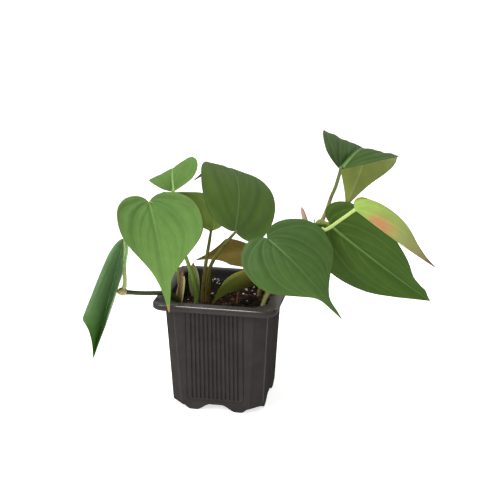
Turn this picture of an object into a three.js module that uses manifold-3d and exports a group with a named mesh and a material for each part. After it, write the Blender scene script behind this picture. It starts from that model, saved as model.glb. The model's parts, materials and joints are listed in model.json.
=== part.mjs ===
// A velvet-leaf philodendron in a square black nursery pot, at its real size in millimetres, +Z up.
//
// The pot's outline comes first, then the soil that fills it, then the stems that stand in the soil, and last
// the blades, each at the end of its petiole. Places are given in the pot's own frame: its axis is x = y = 0,
// its feet stand on z = 0, and its front faces -Y. The last lines move the whole plant sideways, so that the
// origin lies under the middle of the plant's box.

import * as THREE from 'three';
import { mergeVertices } from 'three/addons/utils/BufferGeometryUtils.js';
import Module from 'manifold-3d';

const wasm = await Module();
wasm.setup();

// ---------------------------------------------------------------- driving dimensions (mm)

const GAP = 0.3;                  // clearance that neighbouring solids keep

const pot = {
  height: 93.5,
  rimHalf: 50,                    // half the width over the rim: a 4 inch nursery pot
  rimRound: 11,                   // corner radius of the rim
  skirt: 5,                       // how far the rim's outer edge turns down
  skin: 1.6,                      // thickness of the flange and its skirt
  wallTopHalf: 42,                // half width of the wall under the rim
  wallBottomHalf: 37.2,           // half width of the wall at the feet
  chamfer: 9.8,                   // leg of the wall's chamfered corners
  wall: 1.8,
  stepDepth: 7.5,                 // the inner step lies this far below the rim
  stepWidth: 0.9,
  floorBottom: 5.4,               // the floor, and the arch between the feet, stand this high
  floorTop: 7.2,
  footInner: 16.3,                // two feet on each face: each is flat from here to there, off the middle
  footOuter: 20.7,
  archEnd: 4.7,                   // the arch between the feet is flat as far as this off the middle
  cornerRise: 3.6,                // outside the feet the wall's lower edge rises to this at the corner
  footDepth: 3,
  grooves: 12,                    // upright grooves on each face
  groovePitch: 3.42,
  grooveWidth: 1.3,
  grooveDepth: 0.5,
  grooveBottom: 10.5,
  grooveTop: 85,
  drain: 3.5,                     // radius of the holes in the floor
  drainOffset: 19,
};

const soil = { level: 77.2, riseRight: 0.07, riseBack: 0.08, lump: 1.1, grain: 0.6, rings: 9 };

const blade = { thickness: 0.7, rows: 18, ribs: 4, smallRows: 14, smallRibs: 3 };

// Each blade hangs on three points: the base where the petiole meets it, the tip, and the crown that the
// midrib's curve is drawn towards. The crown lies at bowAt of the chord, and bow times the chord off it, on
// the side that roll (degrees about the chord) turns to. Width is the flat blade's, fold and curl are the
// angles in degrees at which the left and right half leave the midrib and how much further they bend to the
// edge, open is the share of both that the blade loses half way along, twist turns the blade on its way to
// the tip. Lobe, widest and drip shape the flat heart outline as shares of the length, lean makes the right
// half the wider one, skew moves its widest place back. Each wave moves the margin of one side, -1 for the
// left one, out by a share of the half width, round a place and over a width along the blade.
const leaves = {
  leaf_front_left: {
    base: [-55, -25, 170.5], tip: [-32, -58, 90.5], bow: 0.1, bowAt: 0.4, roll: -25, width: 71,
    fold: [3, -2], curl: [11, 26], twist: 3, lobe: 0.06, widest: 0.25, drip: [0.53, 0.14],
    lean: -0.09, skew: 0.02, waves: [[-1, 0.75, 0.08, -0.05]], colour: '#6c9a4c',
  },
  leaf_small_back_left: {
    base: [-44.5, 10, 170.5], tip: [-52, 64.5, 164], bow: 0.5, bowAt: 0.79, roll: -9, width: 44,
    fold: [50, 33], curl: [-34, -36], open: 0.9, twist: 27, lobe: 0.05, widest: 0.23, drip: [0.66, 0.19],
    lean: 0.11, skew: 0.05, small: true, colour: '#6a9c3c',
  },
  leaf_dark_back_left: {
    base: [-16.5, 25, 134.5], tip: [-65, 54.5, 156], bow: -0.02, bowAt: 0.7, roll: 36, width: 60,
    fold: [33, 38], curl: [-16, -35], twist: -1, lobe: 0.07, widest: 0.24, drip: [0.64, 0.24],
    lean: -0.02, skew: 0, small: true, colour: '#4a5a2c',
  },
  leaf_tall_centre: {
    base: [9, 5, 141], tip: [-40, 60, 165.5], bow: 0.81, bowAt: 0.74, roll: 66, width: 88,
    fold: [-2, -5], curl: [-9, 16], open: 0.69, twist: 20, lobe: 0.03, widest: 0.24, drip: [0.53, 0.27],
    lean: 0, skew: -0.04, colour: '#4a6a35',
  },
  leaf_bronze: {
    base: [19, 35, 112], tip: [-35.5, 40.5, 100.5], bow: 0.53, bowAt: 0.45, roll: 137, width: 39,
    fold: [-11, -26], curl: [-57, -75], twist: -9, lobe: 0.08, widest: 0.27, drip: [0.6, 0.18],
    lean: -0.03, skew: 0.02, small: true, colour: '#7d6a35',
  },
  leaf_centre_right: {
    base: [39, -24, 146.5], tip: [101, -37, 87], bow: 0.25, bowAt: 0.43, roll: 0, width: 74,
    fold: [-17, 4], curl: [11, -6], twist: 3, lobe: 0.08, widest: 0.32, drip: [0.58, 0.09],
    lean: -0.06, skew: 0.05, colour: '#4c7238',
    waves: [[-1, 0.44, 0.12, -0.06], [-1, 0.8, 0.09, -0.07], [1, 0.74, 0.09, -0.055]],
  },
  leaf_low_inside: {
    base: [30.5, 1, 109], tip: [-8.5, -13, 82.5], bow: 0.28, bowAt: 0.45, roll: 69, width: 50,
    fold: [1, -23], curl: [1, 5], twist: -9, lobe: 0.08, widest: 0.24, drip: [0.73, 0.27],
    lean: -0.04, skew: 0.01, small: true, colour: '#4a5a28',
  },
  leaf_big_right: {
    base: [86, -2, 151], tip: [166.5, -5, 95.5], bow: 0.05, bowAt: 0.55, roll: 44, width: 66,
    fold: [18, 10], curl: [-21, -26], twist: -11, lobe: 0.1, widest: 0.24, drip: [0.77, 0.29],
    lean: 0.02, skew: -0.02, waves: [[-1, 0.74, 0.08, -0.08], [-1, 0.9, 0.045, 0.06]], colour: '#45683a',
  },
  leaf_top_right: {
    base: [94, -10.3, 202], tip: [92, 50.5, 153], bow: 0.95, bowAt: 0.51, roll: 36, width: 66,
    fold: [39.5, 44.3], curl: [-23.5, -31.5], open: 0.94, twist: 18, lobe: 0.03, widest: 0.32,
    drip: [0.86, 0.43], lean: 0, skew: 0.03, waves: [[1, 0.47, 0.14, -0.12], [1, 0.85, 0.1, -0.05]],
    colour: '#4a6840',
  },
  leaf_young: {
    base: [108, -28, 174.5], tip: [170, -20, 129], bow: -0.03, bowAt: 0.6, roll: -39, width: 35,
    fold: [59, 60], curl: [52, 48], twist: -1, lobe: 0.06, widest: 0.25, drip: [0.69, 0.17],
    lean: 0.11, skew: -0.01, small: true, colour: '#b0a850',
  },
  leaf_far_left: {
    base: [-76.8, -25, 137], tip: [-104.5, -29.5, 34.5], bow: -0.42, bowAt: 0.81, roll: -25, width: 70.5,
    fold: [60, 60], curl: [42, 22], twist: -15, lobe: 0.05, widest: 0.29, drip: [0.69, 0.28],
    lean: 0.07, skew: -0.09, colour: '#4c7848',
  },
};

// Sheaths are narrow blades of the same build. Two stand in the soil, and the winged one sits on a petiole.
const sheaths = {
  sheath_brown: {
    base: [-35.8, -26.5, 70], tip: [-29.3, -22, 119.5], bow: 0.08, bowAt: 0.5, roll: 30, width: 6,
    fold: [20, 20], curl: [40, 40], twist: 0, lobe: 0, widest: 0.3, drip: [0.8, 0.5],
    lean: 0, skew: 0, small: true, colour: '#8a6642',
  },
  sheath_green: {
    base: [-36.5, -19.5, 70], tip: [-29.5, -17.5, 107.5], bow: 0.04, bowAt: 0.5, roll: 0, width: 8,
    fold: [10, 10], curl: [40, 40], twist: 0, lobe: 0, widest: 0.45, drip: [0.9, 0.6],
    lean: 0, skew: 0, small: true, colour: '#a4b06e',
  },
  sheath_winged: {
    base: [-23.5, -3.5, 84], tip: [-25.5, -3.5, 115], bow: 0.03, bowAt: 0.5, roll: 0, width: 10,
    fold: [10, 10], curl: [30, 30], twist: 0, lobe: 0, widest: 0.5, drip: [0.8, 0.5],
    lean: 0, skew: 0, small: true, colour: '#a9ab80',
  },
};

// Stems: each is a set of tubes, a list of points and a radius, and lumps at its joints.
const stems = {
  stem_left_runner: {
    colour: '#4f6b2e',
    tubes: [
      { radius: 1.8, points: [[-28, -27, 58], [-28.5, -28, 76], [-31.5, -31, 90], [-38.5, -31.5, 96.8],
        [-47, -31.5, 96.5], [-60, -31, 95.3], [-77.5, -31, 95]] },
      { radius: 1.5, points: [[-77.5, -31, 95], [-75.5, -31, 101], [-75.5, -30, 114.5], [-75, -29, 125],
        [-75.2, -27, 131.5], [-76.8, -25, 137]] },
    ],
    lumps: [{ at: [-77.5, -31, 95.5], size: [4.4, 3.6, 3.4] }],
  },
  petiole_front_left: {
    colour: '#6f8f42',
    tubes: [
      { radius: 1.5, points: [[-25, -9, 58], [-23.5, -7.5, 76], [-22, -6, 88], [-26, -7, 105], [-30, -9, 120],
        [-40, -14, 148], [-50, -20, 164.5], [-55, -25, 170.5]] },
    ],
    lumps: [],
  },
  petiole_small_leaf: {
    colour: '#7c7a3c',
    tubes: [
      { radius: 1.2, points: [[-33, -13, 58], [-33.5, -13, 78], [-34.5, -13, 95], [-36, -12, 108],
        [-38.5, -9, 122], [-41.5, -2, 142], [-44, 6, 160], [-44.5, 10, 170.5]] },
    ],
    lumps: [],
  },
  stem_olive_fork: {
    colour: '#6e5f2e',
    tubes: [
      { radius: 2.2, points: [[-20.6, 8.5, 58], [-20, 8.5, 78], [-19.3, 8.5, 90], [-18.4, 9, 102]] },
      { radius: 1.4, points: [[-18.6, 8.8, 99], [-17.9, 10, 110], [-17, 17, 123], [-16.5, 25, 134.5]] },
      { radius: 2.1, points: [[-16.6, 7.5, 58], [-16.3, 7.5, 78], [-15.6, 7.2, 90], [-14.8, 7, 102]] },
      { radius: 1.4, points: [[-14.9, 7, 100], [-13.4, 6.6, 108], [-10.2, 6.2, 115], [-4.4, 5.7, 123.5],
        [1.6, 5, 132], [9, 5, 141]] },
    ],
    lumps: [],
  },
  stem_right_vine: {
    colour: '#4a5c2a',
    tubes: [
      { radius: 2.2, points: [[32, -5, 58], [32.5, -4.5, 80], [37, -3, 95], [46, 0, 115], [58, 5, 135],
        [70, 6, 147], [77, 5, 151]] },
      { radius: 1.4, points: [[77, 5, 151], [82, 3, 152], [86, -2, 151]] },
      { radius: 1.5, points: [[77, 5, 151], [80.5, 8, 160], [85, 6, 174], [88.3, 2, 182.2], [91.3, -3.5, 192.4],
        [94, -10.3, 202]] },
      { radius: 1.2, points: [[38, -2.5, 97], [38, -2, 106], [35, -1, 110], [30.5, 1, 109]] },
      { radius: 0.5, points: [[72, 2, 149], [72.4, 1.5, 154], [73.4, 1, 159]] },
    ],
    lumps: [{ at: [77, 5, 151.5], size: [4.2, 3.6, 3.2] }],
  },
  petiole_bronze_leaf: {
    colour: '#8a8a55',
    tubes: [
      { radius: 1.5, points: [[25, 20, 58], [24.5, 20.5, 78], [25, 23, 92], [23, 30, 105], [19, 35, 112]] },
    ],
    lumps: [],
  },
  petiole_centre_right: {
    colour: '#8c8450',
    tubes: [
      { radius: 1.5, points: [[33, -13, 58], [34, -12, 84], [39, -11, 97], [45, -9, 115], [43, -13, 133],
        [39, -24, 146.5]] },
    ],
    lumps: [],
  },
};

const youngPetiole = { colour: '#b4c872', radius: 1.3,
  points: [[77, 5, 151], [80, -2, 148.5], [84, -8, 151], [95, -19, 162], [108, -28, 174.5]] };
const shoot = { colour: '#c4a68e', radius: 2.2, foot: [66.5, 4, 147], tip: [61.8, 1, 165] };
const stick = { colour: '#7d5f4a', radius: 0.9, foot: [7, 4, 60], tip: [10, 8, 88] };

// ---------------------------------------------------------------- joining and cutting

const toSolid = (geometry) => {
  const bare = geometry.clone();
  bare.deleteAttribute('normal');
  bare.deleteAttribute('uv');
  const merged = mergeVertices(bare, 1e-4);
  return new wasm.Manifold(new wasm.Mesh({
    numProp: 3,
    vertProperties: new Float32Array(merged.attributes.position.array),
    triVerts: new Uint32Array(merged.index.array),
  }));
};

const toGeometry = (solid) => {
  const mesh = solid.getMesh();
  const geometry = new THREE.BufferGeometry();
  geometry.setAttribute('position', new THREE.BufferAttribute(new Float32Array(mesh.vertProperties), 3));
  geometry.setIndex(new THREE.BufferAttribute(new Uint32Array(mesh.triVerts), 1));
  geometry.computeVertexNormals();
  return geometry;
};

const join = (solids) => solids.reduce((whole, solid) => whole.add(solid));

// A cut can leave a scrap behind: only the largest piece is kept.
const largest = (solid) => solid.decompose().sort((a, b) => b.volume() - a.volume())[0];

const meshOf = (points, faces) => {
  const geometry = new THREE.BufferGeometry();
  geometry.setAttribute('position', new THREE.Float32BufferAttribute(points.flatMap((p) => p.toArray()), 3));
  geometry.setIndex(faces.flat());
  return geometry;
};

// ---------------------------------------------------------------- pot and soil

const wallHalf = (z) => THREE.MathUtils.mapLinear(
  z, 0, pot.height - pot.skirt, pot.wallBottomHalf, pot.wallTopHalf);

// The points of a square ring of the given half width, with a chamfered or a rounded corner in four steps.
const CORNER_STEPS = 4;
const squareRing = (half, corner, rounded) => {
  const points = [];
  for (let quarter = 0; quarter < 4; quarter += 1) {
    for (let step = 0; step <= CORNER_STEPS; step += 1) {
      const share = step / CORNER_STEPS;
      const angle = share * Math.PI / 2;
      const inward = half - corner;
      const x = rounded ? inward + corner * Math.cos(angle) : inward + corner * (1 - share);
      const y = rounded ? inward + corner * Math.sin(angle) : inward + corner * share;
      points.push(new THREE.Vector2(x, y).rotateAround(new THREE.Vector2(), quarter * Math.PI / 2));
    }
  }
  return points;
};

// Closes a stack of rings, each a list of plane points with a height, by a fan at its first and last ring.
const loft = (rings) => {
  const count = rings[0].points.length;
  const points = rings.flatMap(({ points: ring, z }) => ring.map((p, i) => {
    const height = typeof z === 'function' ? z(p.x, p.y) : z;
    return new THREE.Vector3(p.x, p.y, height);
  }));
  const faces = [];
  for (let level = 0; level + 1 < rings.length; level += 1) {
    for (let i = 0; i < count; i += 1) {
      const a = level * count + i;
      const b = level * count + (i + 1) % count;
      faces.push([a, b, b + count], [a, b + count, a + count]);
    }
  }
  const last = rings.length - 1;
  const middle = (ring) => {
    const z = typeof ring.z === 'function' ? ring.z(0, 0) : ring.z;
    return points.push(new THREE.Vector3(0, 0, z)) - 1;
  };
  const bottom = middle(rings[0]);
  const top = middle(rings[last]);
  for (let i = 0; i < count; i += 1) {
    const next = (i + 1) % count;
    faces.push([bottom, next, i], [top, last * count + i, last * count + next]);
  }
  return meshOf(points, faces);
};

const aroundFaces = (make) => [0, 1, 2, 3].flatMap((quarter) => (
  make().map((geometry) => toSolid(geometry.rotateZ(quarter * Math.PI / 2)))));

// The wall leans out on its way up, by this much for each millimetre.
const lean = (pot.wallTopHalf - pot.wallBottomHalf) / (pot.height - pot.skirt);
const leaning = (slope) => new THREE.Matrix4().makeShear(0, 0, 0, 0, 0, -slope);

// A foot is a soft bump of the wall's lower edge: S-curves lead from the arch down to its flat sole, and up
// again to the corner.
const footGeometry = (side) => {
  const reach = pot.floorBottom + 1;
  const corner = pot.wallBottomHalf - pot.chamfer;
  const inner = side * (pot.archEnd + pot.footInner) / 2;
  const outer = side * (pot.footOuter + corner) / 2;
  const outline = new THREE.Shape();
  outline.moveTo(side * pot.archEnd, reach);
  outline.lineTo(side * pot.archEnd, pot.floorBottom);
  outline.bezierCurveTo(inner, pot.floorBottom, inner, 0, side * pot.footInner, 0);
  outline.lineTo(side * pot.footOuter, 0);
  outline.bezierCurveTo(outer, 0, outer, pot.cornerRise, side * corner, pot.cornerRise);
  outline.lineTo(side * corner, reach);
  return new THREE.ExtrudeGeometry(outline, { depth: pot.footDepth, bevelEnabled: false, curveSegments: 5 })
    .rotateX(Math.PI / 2)
    .translate(0, -pot.wallBottomHalf + pot.footDepth, 0)
    .applyMatrix4(leaning(lean));
};

// The strip of wall under a chamfered corner, between the feet of two faces.
const cornerGeometry = () => {
  const low = pot.cornerRise;
  const high = pot.floorBottom + 1;
  const distance = (2 * pot.wallBottomHalf - pot.chamfer) / Math.SQRT2;
  return new THREE.BoxGeometry(pot.chamfer * Math.SQRT2, pot.footDepth, high - low)
    .translate(0, -distance + pot.footDepth / 2, (low + high) / 2)
    .applyMatrix4(leaning(lean * Math.SQRT2))
    .rotateZ(Math.PI / 4);
};

const grooveGeometry = (index) => {
  const x = (index - (pot.grooves - 1) / 2) * pot.groovePitch;
  const middle = (pot.grooveBottom + pot.grooveTop) / 2;
  return new THREE.BoxGeometry(pot.grooveWidth, 2 * pot.grooveDepth, pot.grooveTop - pot.grooveBottom)
    .rotateX(Math.atan(lean))
    .translate(x, -wallHalf(middle), middle);
};

const makePot = () => {
  const { height, rimHalf, rimRound, skirt, skin, chamfer, wall, floorTop, floorBottom } = pot;
  const wallRing = (half, z) => ({ points: squareRing(half, chamfer, false), z });
  const rimRing = (half, z) => ({ points: squareRing(half, rimRound - (rimHalf - half), true), z });
  const innerHalf = wallHalf(height) - wall;
  const edge = 0.9;
  const body = toSolid(loft([
    wallRing(wallHalf(floorBottom), floorBottom),
    wallRing(wallHalf(height - skirt), height - skin),
    rimRing(rimHalf - skin, height - skin),
    rimRing(rimHalf - skin, height - skirt),
    rimRing(rimHalf, height - skirt),
    rimRing(rimHalf, height - edge),
    rimRing(rimHalf - edge, height),
    wallRing(innerHalf + edge, height),
    wallRing(innerHalf, height - edge),
    wallRing(innerHalf, height - pot.stepDepth),
    wallRing(innerHalf - pot.stepWidth, height - pot.stepDepth),
    wallRing(wallHalf(floorTop) - wall, floorTop),
  ]));
  const feet = aroundFaces(() => [footGeometry(-1), footGeometry(1), cornerGeometry()]);
  const grooves = aroundFaces(() => Array.from({ length: pot.grooves }, (_, i) => grooveGeometry(i)));
  const drains = [[0, 0], [-1, -1], [-1, 1], [1, -1], [1, 1]].map(([x, y]) => toSolid(
    new THREE.CylinderGeometry(pot.drain, pot.drain, 4 * skin, 12).rotateX(Math.PI / 2)
      .translate(x * pot.drainOffset, y * pot.drainOffset, floorBottom)));
  return join([body, ...feet]).subtract(join([...grooves, ...drains]));
};

// The soil's top rises to the right and the back, with lumps and grains of bark.
const soilHeight = (x, y) => soil.level + soil.riseRight * x + soil.riseBack * y
  + soil.lump * Math.sin(0.41 * x + 1.3) * Math.cos(0.37 * y - 0.4)
  + soil.grain * Math.sin(1.07 * x - 0.83 * y) * Math.cos(0.91 * y + 0.59 * x);

const makeSoil = () => {
  const inside = (z) => THREE.MathUtils.mapLinear(
    z, pot.floorTop, pot.height - pot.stepDepth,
    wallHalf(pot.floorTop) - pot.wall, wallHalf(pot.height) - pot.wall - pot.stepWidth) - GAP - 0.1;
  const topHalf = inside(soil.level - 6);
  const rings = [{ points: squareRing(inside(pot.floorTop), pot.chamfer, false), z: pot.floorTop + GAP }];
  for (let ring = soil.rings; ring >= 1; ring -= 1) {
    const share = ring / soil.rings;
    rings.push({ points: squareRing(topHalf * share, pot.chamfer * share, false), z: soilHeight });
  }
  return toSolid(loft(rings));
};

// ---------------------------------------------------------------- stems

const tube = ({ radius, points }, sides = 7, grow = 0) => {
  const path = new THREE.CatmullRomCurve3(points.map((p) => new THREE.Vector3(...p)));
  const steps = Math.max(4, Math.round(path.getLength() / 7));
  const around = Array.from({ length: sides }, (_, i) => new THREE.Vector2(radius + grow, 0)
    .rotateAround(new THREE.Vector2(), 2 * Math.PI * i / sides));
  return toSolid(new THREE.ExtrudeGeometry(new THREE.Shape(around), {
    steps, bevelEnabled: false, extrudePath: path }));
};

const lump = ({ at, size }, grow = 0) => toSolid(
  new THREE.SphereGeometry(1, 10, 7).scale(...size.map((s) => s + grow)).translate(...at));

const stemSolid = ({ tubes, lumps }, grow = 0) => join([
  ...tubes.map((line) => tube(line, line.radius > 1 ? 7 : 5, grow)),
  ...lumps.map((knot) => lump(knot, grow))]);

const cone = ({ radius, foot, tip }, tipShare, grow = 0) => {
  const from = new THREE.Vector3(...foot);
  const along = new THREE.Vector3(...tip).sub(from);
  const middle = from.clone().addScaledVector(along, 0.5);
  const turn = new THREE.Quaternion().setFromUnitVectors(
    new THREE.Vector3(0, 1, 0), along.clone().normalize());
  const geometry = new THREE.CylinderGeometry(radius * tipShare + grow, radius + grow, along.length(), 8);
  return toSolid(geometry.applyQuaternion(turn).translate(...middle.toArray()));
};

// ---------------------------------------------------------------- blades

const radians = THREE.MathUtils.degToRad;

const bezier = (points, t) => {
  const s = 1 - t;
  const weights = points.length === 3 ? [s * s, 2 * s * t, t * t]
    : [s * s * s, 3 * s * s * t, 3 * s * t * t, t * t * t];
  return points.reduce((sum, p, i) => sum.addScaledVector(p, weights[i]), points[0].clone().setScalar(0));
};

// Half of the flat heart: from the base back round the lobe to the widest place, then in to the drip tip.
const LOBE_END = 0.45;
const outlinePoint = (leaf, side, s) => {
  const back = leaf.lobe / 0.085;
  const widest = leaf.widest - side * leaf.skew;
  const lobe = [[0, 0], [-0.17 * back, 0.15], [-0.14 * back, 1], [widest, 1]];
  const point = [[widest, 1], [widest + 0.3, 1], [...leaf.drip], [1, 0]];
  const chain = s < LOBE_END ? lobe : point;
  const t = s < LOBE_END ? s / LOBE_END : (s - LOBE_END) / (1 - LOBE_END);
  const edge = bezier(chain.map((p) => new THREE.Vector2(...p)), t);
  (leaf.waves ?? []).filter(([half]) => half === side).forEach(([, at, width, out]) => {
    edge.y += out * Math.exp(-(((edge.x - at) / width) ** 2));
  });
  return edge;
};

// The blade's middle sheet: rows run from the midrib out to the outline on both sides. Overhang carries the
// edge further out, which leaves room around the blade where other pieces are cut.
const bladeSheet = (leaf, overhang) => {
  const rows = leaf.small ? blade.smallRows : blade.rows;
  const ribs = leaf.small ? blade.smallRibs : blade.ribs;
  const base = new THREE.Vector3(...leaf.base);
  const tip = new THREE.Vector3(...leaf.tip);
  const chord = tip.clone().sub(base);
  const along = chord.clone().normalize();
  const facing = new THREE.Vector3(0, -1, 1).projectOnPlane(along).normalize()
    .applyAxisAngle(along, radians(leaf.roll));
  const crown = base.clone().addScaledVector(chord, leaf.bowAt)
    .addScaledVector(facing, leaf.bow * chord.length());
  const across = new THREE.Vector3().crossVectors(along, facing);
  const midrib = new THREE.QuadraticBezierCurve3(base, crown, tip);
  const length = midrib.getLength();
  const start = midrib.getTangent(0);
  const place = (side, u, v) => {
    const half = leaf.width / 2 * (1 + side * leaf.lean);
    const t = THREE.MathUtils.clamp(u, 0, 1);
    const forward = midrib.getTangent(t);
    const turn = radians(leaf.twist) * t;
    const up = new THREE.Vector3().crossVectors(across, forward);
    const sideways = across.clone().multiplyScalar(Math.cos(turn)).addScaledVector(up, Math.sin(turn));
    const out = up.clone().multiplyScalar(Math.cos(turn)).addScaledVector(across, -Math.sin(turn));
    const ease = 1 - (leaf.open ?? 0) * Math.sin(Math.PI * t);
    const fold = ease * radians(leaf.fold[side < 0 ? 0 : 1]);
    const curl = ease * radians(leaf.curl[side < 0 ? 0 : 1]) || 1e-3;
    const reach = half / curl * (Math.sin(fold + curl * v) - Math.sin(fold));
    const lift = -half / curl * (Math.cos(fold + curl * v) - Math.cos(fold));
    return midrib.getPoint(t).addScaledVector(sideways, side * reach).addScaledVector(out, lift)
      .addScaledVector(start, Math.min(u, 0) * length);
  };
  const points = [];
  const faces = [];
  for (let i = 0; i <= rows; i += 1) {
    points.push(place(1, (i / rows) ** 1.8, 0));
  }
  points[0].addScaledVector(start, -overhang);
  points[rows].addScaledVector(midrib.getTangent(1), overhang);
  [-1, 1].forEach((side) => {
    const first = points.length;
    for (let i = 1; i < rows; i += 1) {
      const u = (i / rows) ** 1.8;
      const edge = outlinePoint(leaf, side, i / rows);
      for (let j = 1; j <= ribs; j += 1) {
        const share = j / ribs;
        points.push(place(side, u + (edge.x - u) * share, edge.y * share));
      }
      const [inner, outer] = points.slice(-2);
      outer.add(outer.clone().sub(inner).setLength(overhang));
    }
    const at = (i, j) => (j === 0 || i === 0 || i === rows ? i : first + (i - 1) * ribs + j - 1);
    const face = (a, b, c) => faces.push(side > 0 ? [a, c, b] : [a, b, c]);
    for (let i = 0; i < rows; i += 1) {
      for (let j = 0; j < ribs; j += 1) {
        const [a, b, c, d] = [at(i, j), at(i + 1, j), at(i + 1, j + 1), at(i, j + 1)];
        if (b !== c) face(a, b, c);
        if (a !== d) face(a, c, d);
      }
    }
  });
  return { points, faces };
};

// Gives the sheet its thickness: the same triangles above and below, and a strip along the open edge.
const bladeSolid = (leaf, thickness = blade.thickness, overhang = 0) => {
  const { points, faces } = bladeSheet(leaf, overhang);
  const sheet = meshOf(points, faces);
  sheet.computeVertexNormals();
  const normals = sheet.attributes.normal;
  const shifted = (amount) => points.map((p, i) => p.clone().addScaledVector(
    new THREE.Vector3().fromBufferAttribute(normals, i), amount));
  const count = points.length;
  const open = new Map();
  faces.forEach((face) => face.forEach((from, i) => {
    const to = face[(i + 1) % 3];
    if (!open.delete(`${to}-${from}`)) open.set(`${from}-${to}`, [from, to]);
  }));
  const strip = [...open.values()].flatMap(([p, q]) => [[q, p, p + count], [q, p + count, q + count]]);
  const under = faces.map(([a, b, c]) => [a + count, c + count, b + count]);
  return toSolid(meshOf([...shifted(thickness / 2), ...shifted(-thickness / 2)],
    [...faces, ...under, ...strip]));
};

// ---------------------------------------------------------------- the plant

const plant = new THREE.Group();
const addPiece = (name, solid, colour, roughness) => {
  const material = new THREE.MeshStandardMaterial({ color: colour, roughness, metalness: 0 });
  const mesh = new THREE.Mesh(toGeometry(solid), material);
  mesh.name = name;
  plant.add(mesh);
};

const blades = [...Object.values(leaves), ...Object.values(sheaths)];
const roomFor = (leaf) => bladeSolid(leaf, blade.thickness + 2 * GAP, 2 * GAP);
const roomForBlades = join(blades.map(roomFor));
const stemNames = Object.keys(stems);
const grownStems = stemNames.map((name) => stemSolid(stems[name], GAP));

addPiece('pot', makePot(), '#423e3c', 0.5);

const standing = [...grownStems, cone(stick, 0.8, GAP), ...Object.values(sheaths).map(roomFor)];
addPiece('soil', largest(makeSoil().subtract(join(standing))), '#3a261a', 1);

stemNames.forEach((name) => {
  addPiece(name, largest(stemSolid(stems[name]).subtract(roomForBlades)), stems[name].colour, 0.6);
});

const vine = grownStems[stemNames.indexOf('stem_right_vine')];
addPiece('petiole_young', largest(tube(youngPetiole).subtract(vine.add(roomForBlades))),
  youngPetiole.colour, 0.5);
addPiece('new_shoot', largest(cone(shoot, 0.5).subtract(vine)), shoot.colour, 0.5);
addPiece('stick', cone(stick, 0.8), stick.colour, 0.9);

Object.entries({ ...leaves, ...sheaths }).forEach(([name, leaf]) => {
  addPiece(name, bladeSolid(leaf), leaf.colour, 0.45);
});

const middle = new THREE.Box3().setFromObject(plant).getCenter(new THREE.Vector3());
plant.position.set(-middle.x, -middle.y, 0);

export default plant;
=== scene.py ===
# %% [markdown]
# # A young velvet-leaf philodendron in a square nursery pot
#
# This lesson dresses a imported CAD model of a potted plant: a black plastic pot, the bark soil in it, the
# stems that stand in the soil, and eleven heart-shaped leaves. The CAD solids give each piece its place and
# its size. Every piece is then worked out again here as a much finer surface, with veins, folds and thin
# edges, and gets a material that is built from nodes.

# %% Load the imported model
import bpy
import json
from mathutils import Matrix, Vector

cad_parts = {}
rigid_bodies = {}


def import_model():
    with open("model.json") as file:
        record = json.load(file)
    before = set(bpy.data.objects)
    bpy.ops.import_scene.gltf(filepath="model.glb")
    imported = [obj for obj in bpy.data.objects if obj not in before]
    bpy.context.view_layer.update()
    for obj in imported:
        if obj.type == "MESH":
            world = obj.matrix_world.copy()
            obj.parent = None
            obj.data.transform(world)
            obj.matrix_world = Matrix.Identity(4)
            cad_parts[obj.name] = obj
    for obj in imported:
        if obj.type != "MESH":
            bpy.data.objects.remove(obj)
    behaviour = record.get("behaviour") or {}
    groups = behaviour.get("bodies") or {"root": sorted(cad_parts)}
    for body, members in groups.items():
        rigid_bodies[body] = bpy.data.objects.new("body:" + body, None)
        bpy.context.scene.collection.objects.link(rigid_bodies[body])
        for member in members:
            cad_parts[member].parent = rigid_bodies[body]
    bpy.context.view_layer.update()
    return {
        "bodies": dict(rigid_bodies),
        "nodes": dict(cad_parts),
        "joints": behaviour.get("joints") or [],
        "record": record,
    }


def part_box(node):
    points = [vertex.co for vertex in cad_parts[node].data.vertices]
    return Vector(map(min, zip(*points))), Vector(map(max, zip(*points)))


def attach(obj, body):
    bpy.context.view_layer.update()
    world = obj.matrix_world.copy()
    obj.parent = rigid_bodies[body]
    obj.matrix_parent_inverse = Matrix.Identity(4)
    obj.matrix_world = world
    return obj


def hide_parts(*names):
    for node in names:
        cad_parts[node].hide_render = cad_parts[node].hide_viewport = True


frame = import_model()

import json
import math

import bpy
import numpy as np
from mathutils import Quaternion, Vector

pot_low, pot_high = (np.array(corner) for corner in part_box("pot"))
POT_AXIS = np.array([*(pot_low + pot_high)[:2] / 2, 0.0])
rng = np.random.default_rng(7)
print("The pot's axis stands at", POT_AXIS.round(4), "m, among", len(frame["nodes"]), "CAD pieces")

# %% [markdown]
# ## One way to make every mesh
#
# Leaves, stems and the pot are all closed skins, so one function can turn rings of points into a mesh: each
# ring is joined to the next one, and the two ends are closed by a single point. Places are given in
# millimetres from the pot's axis, as a gardener would measure them, and are turned into metres at the end.
# A value that a material needs at each point, such as how close a vein is, is kept as an attribute.

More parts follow.
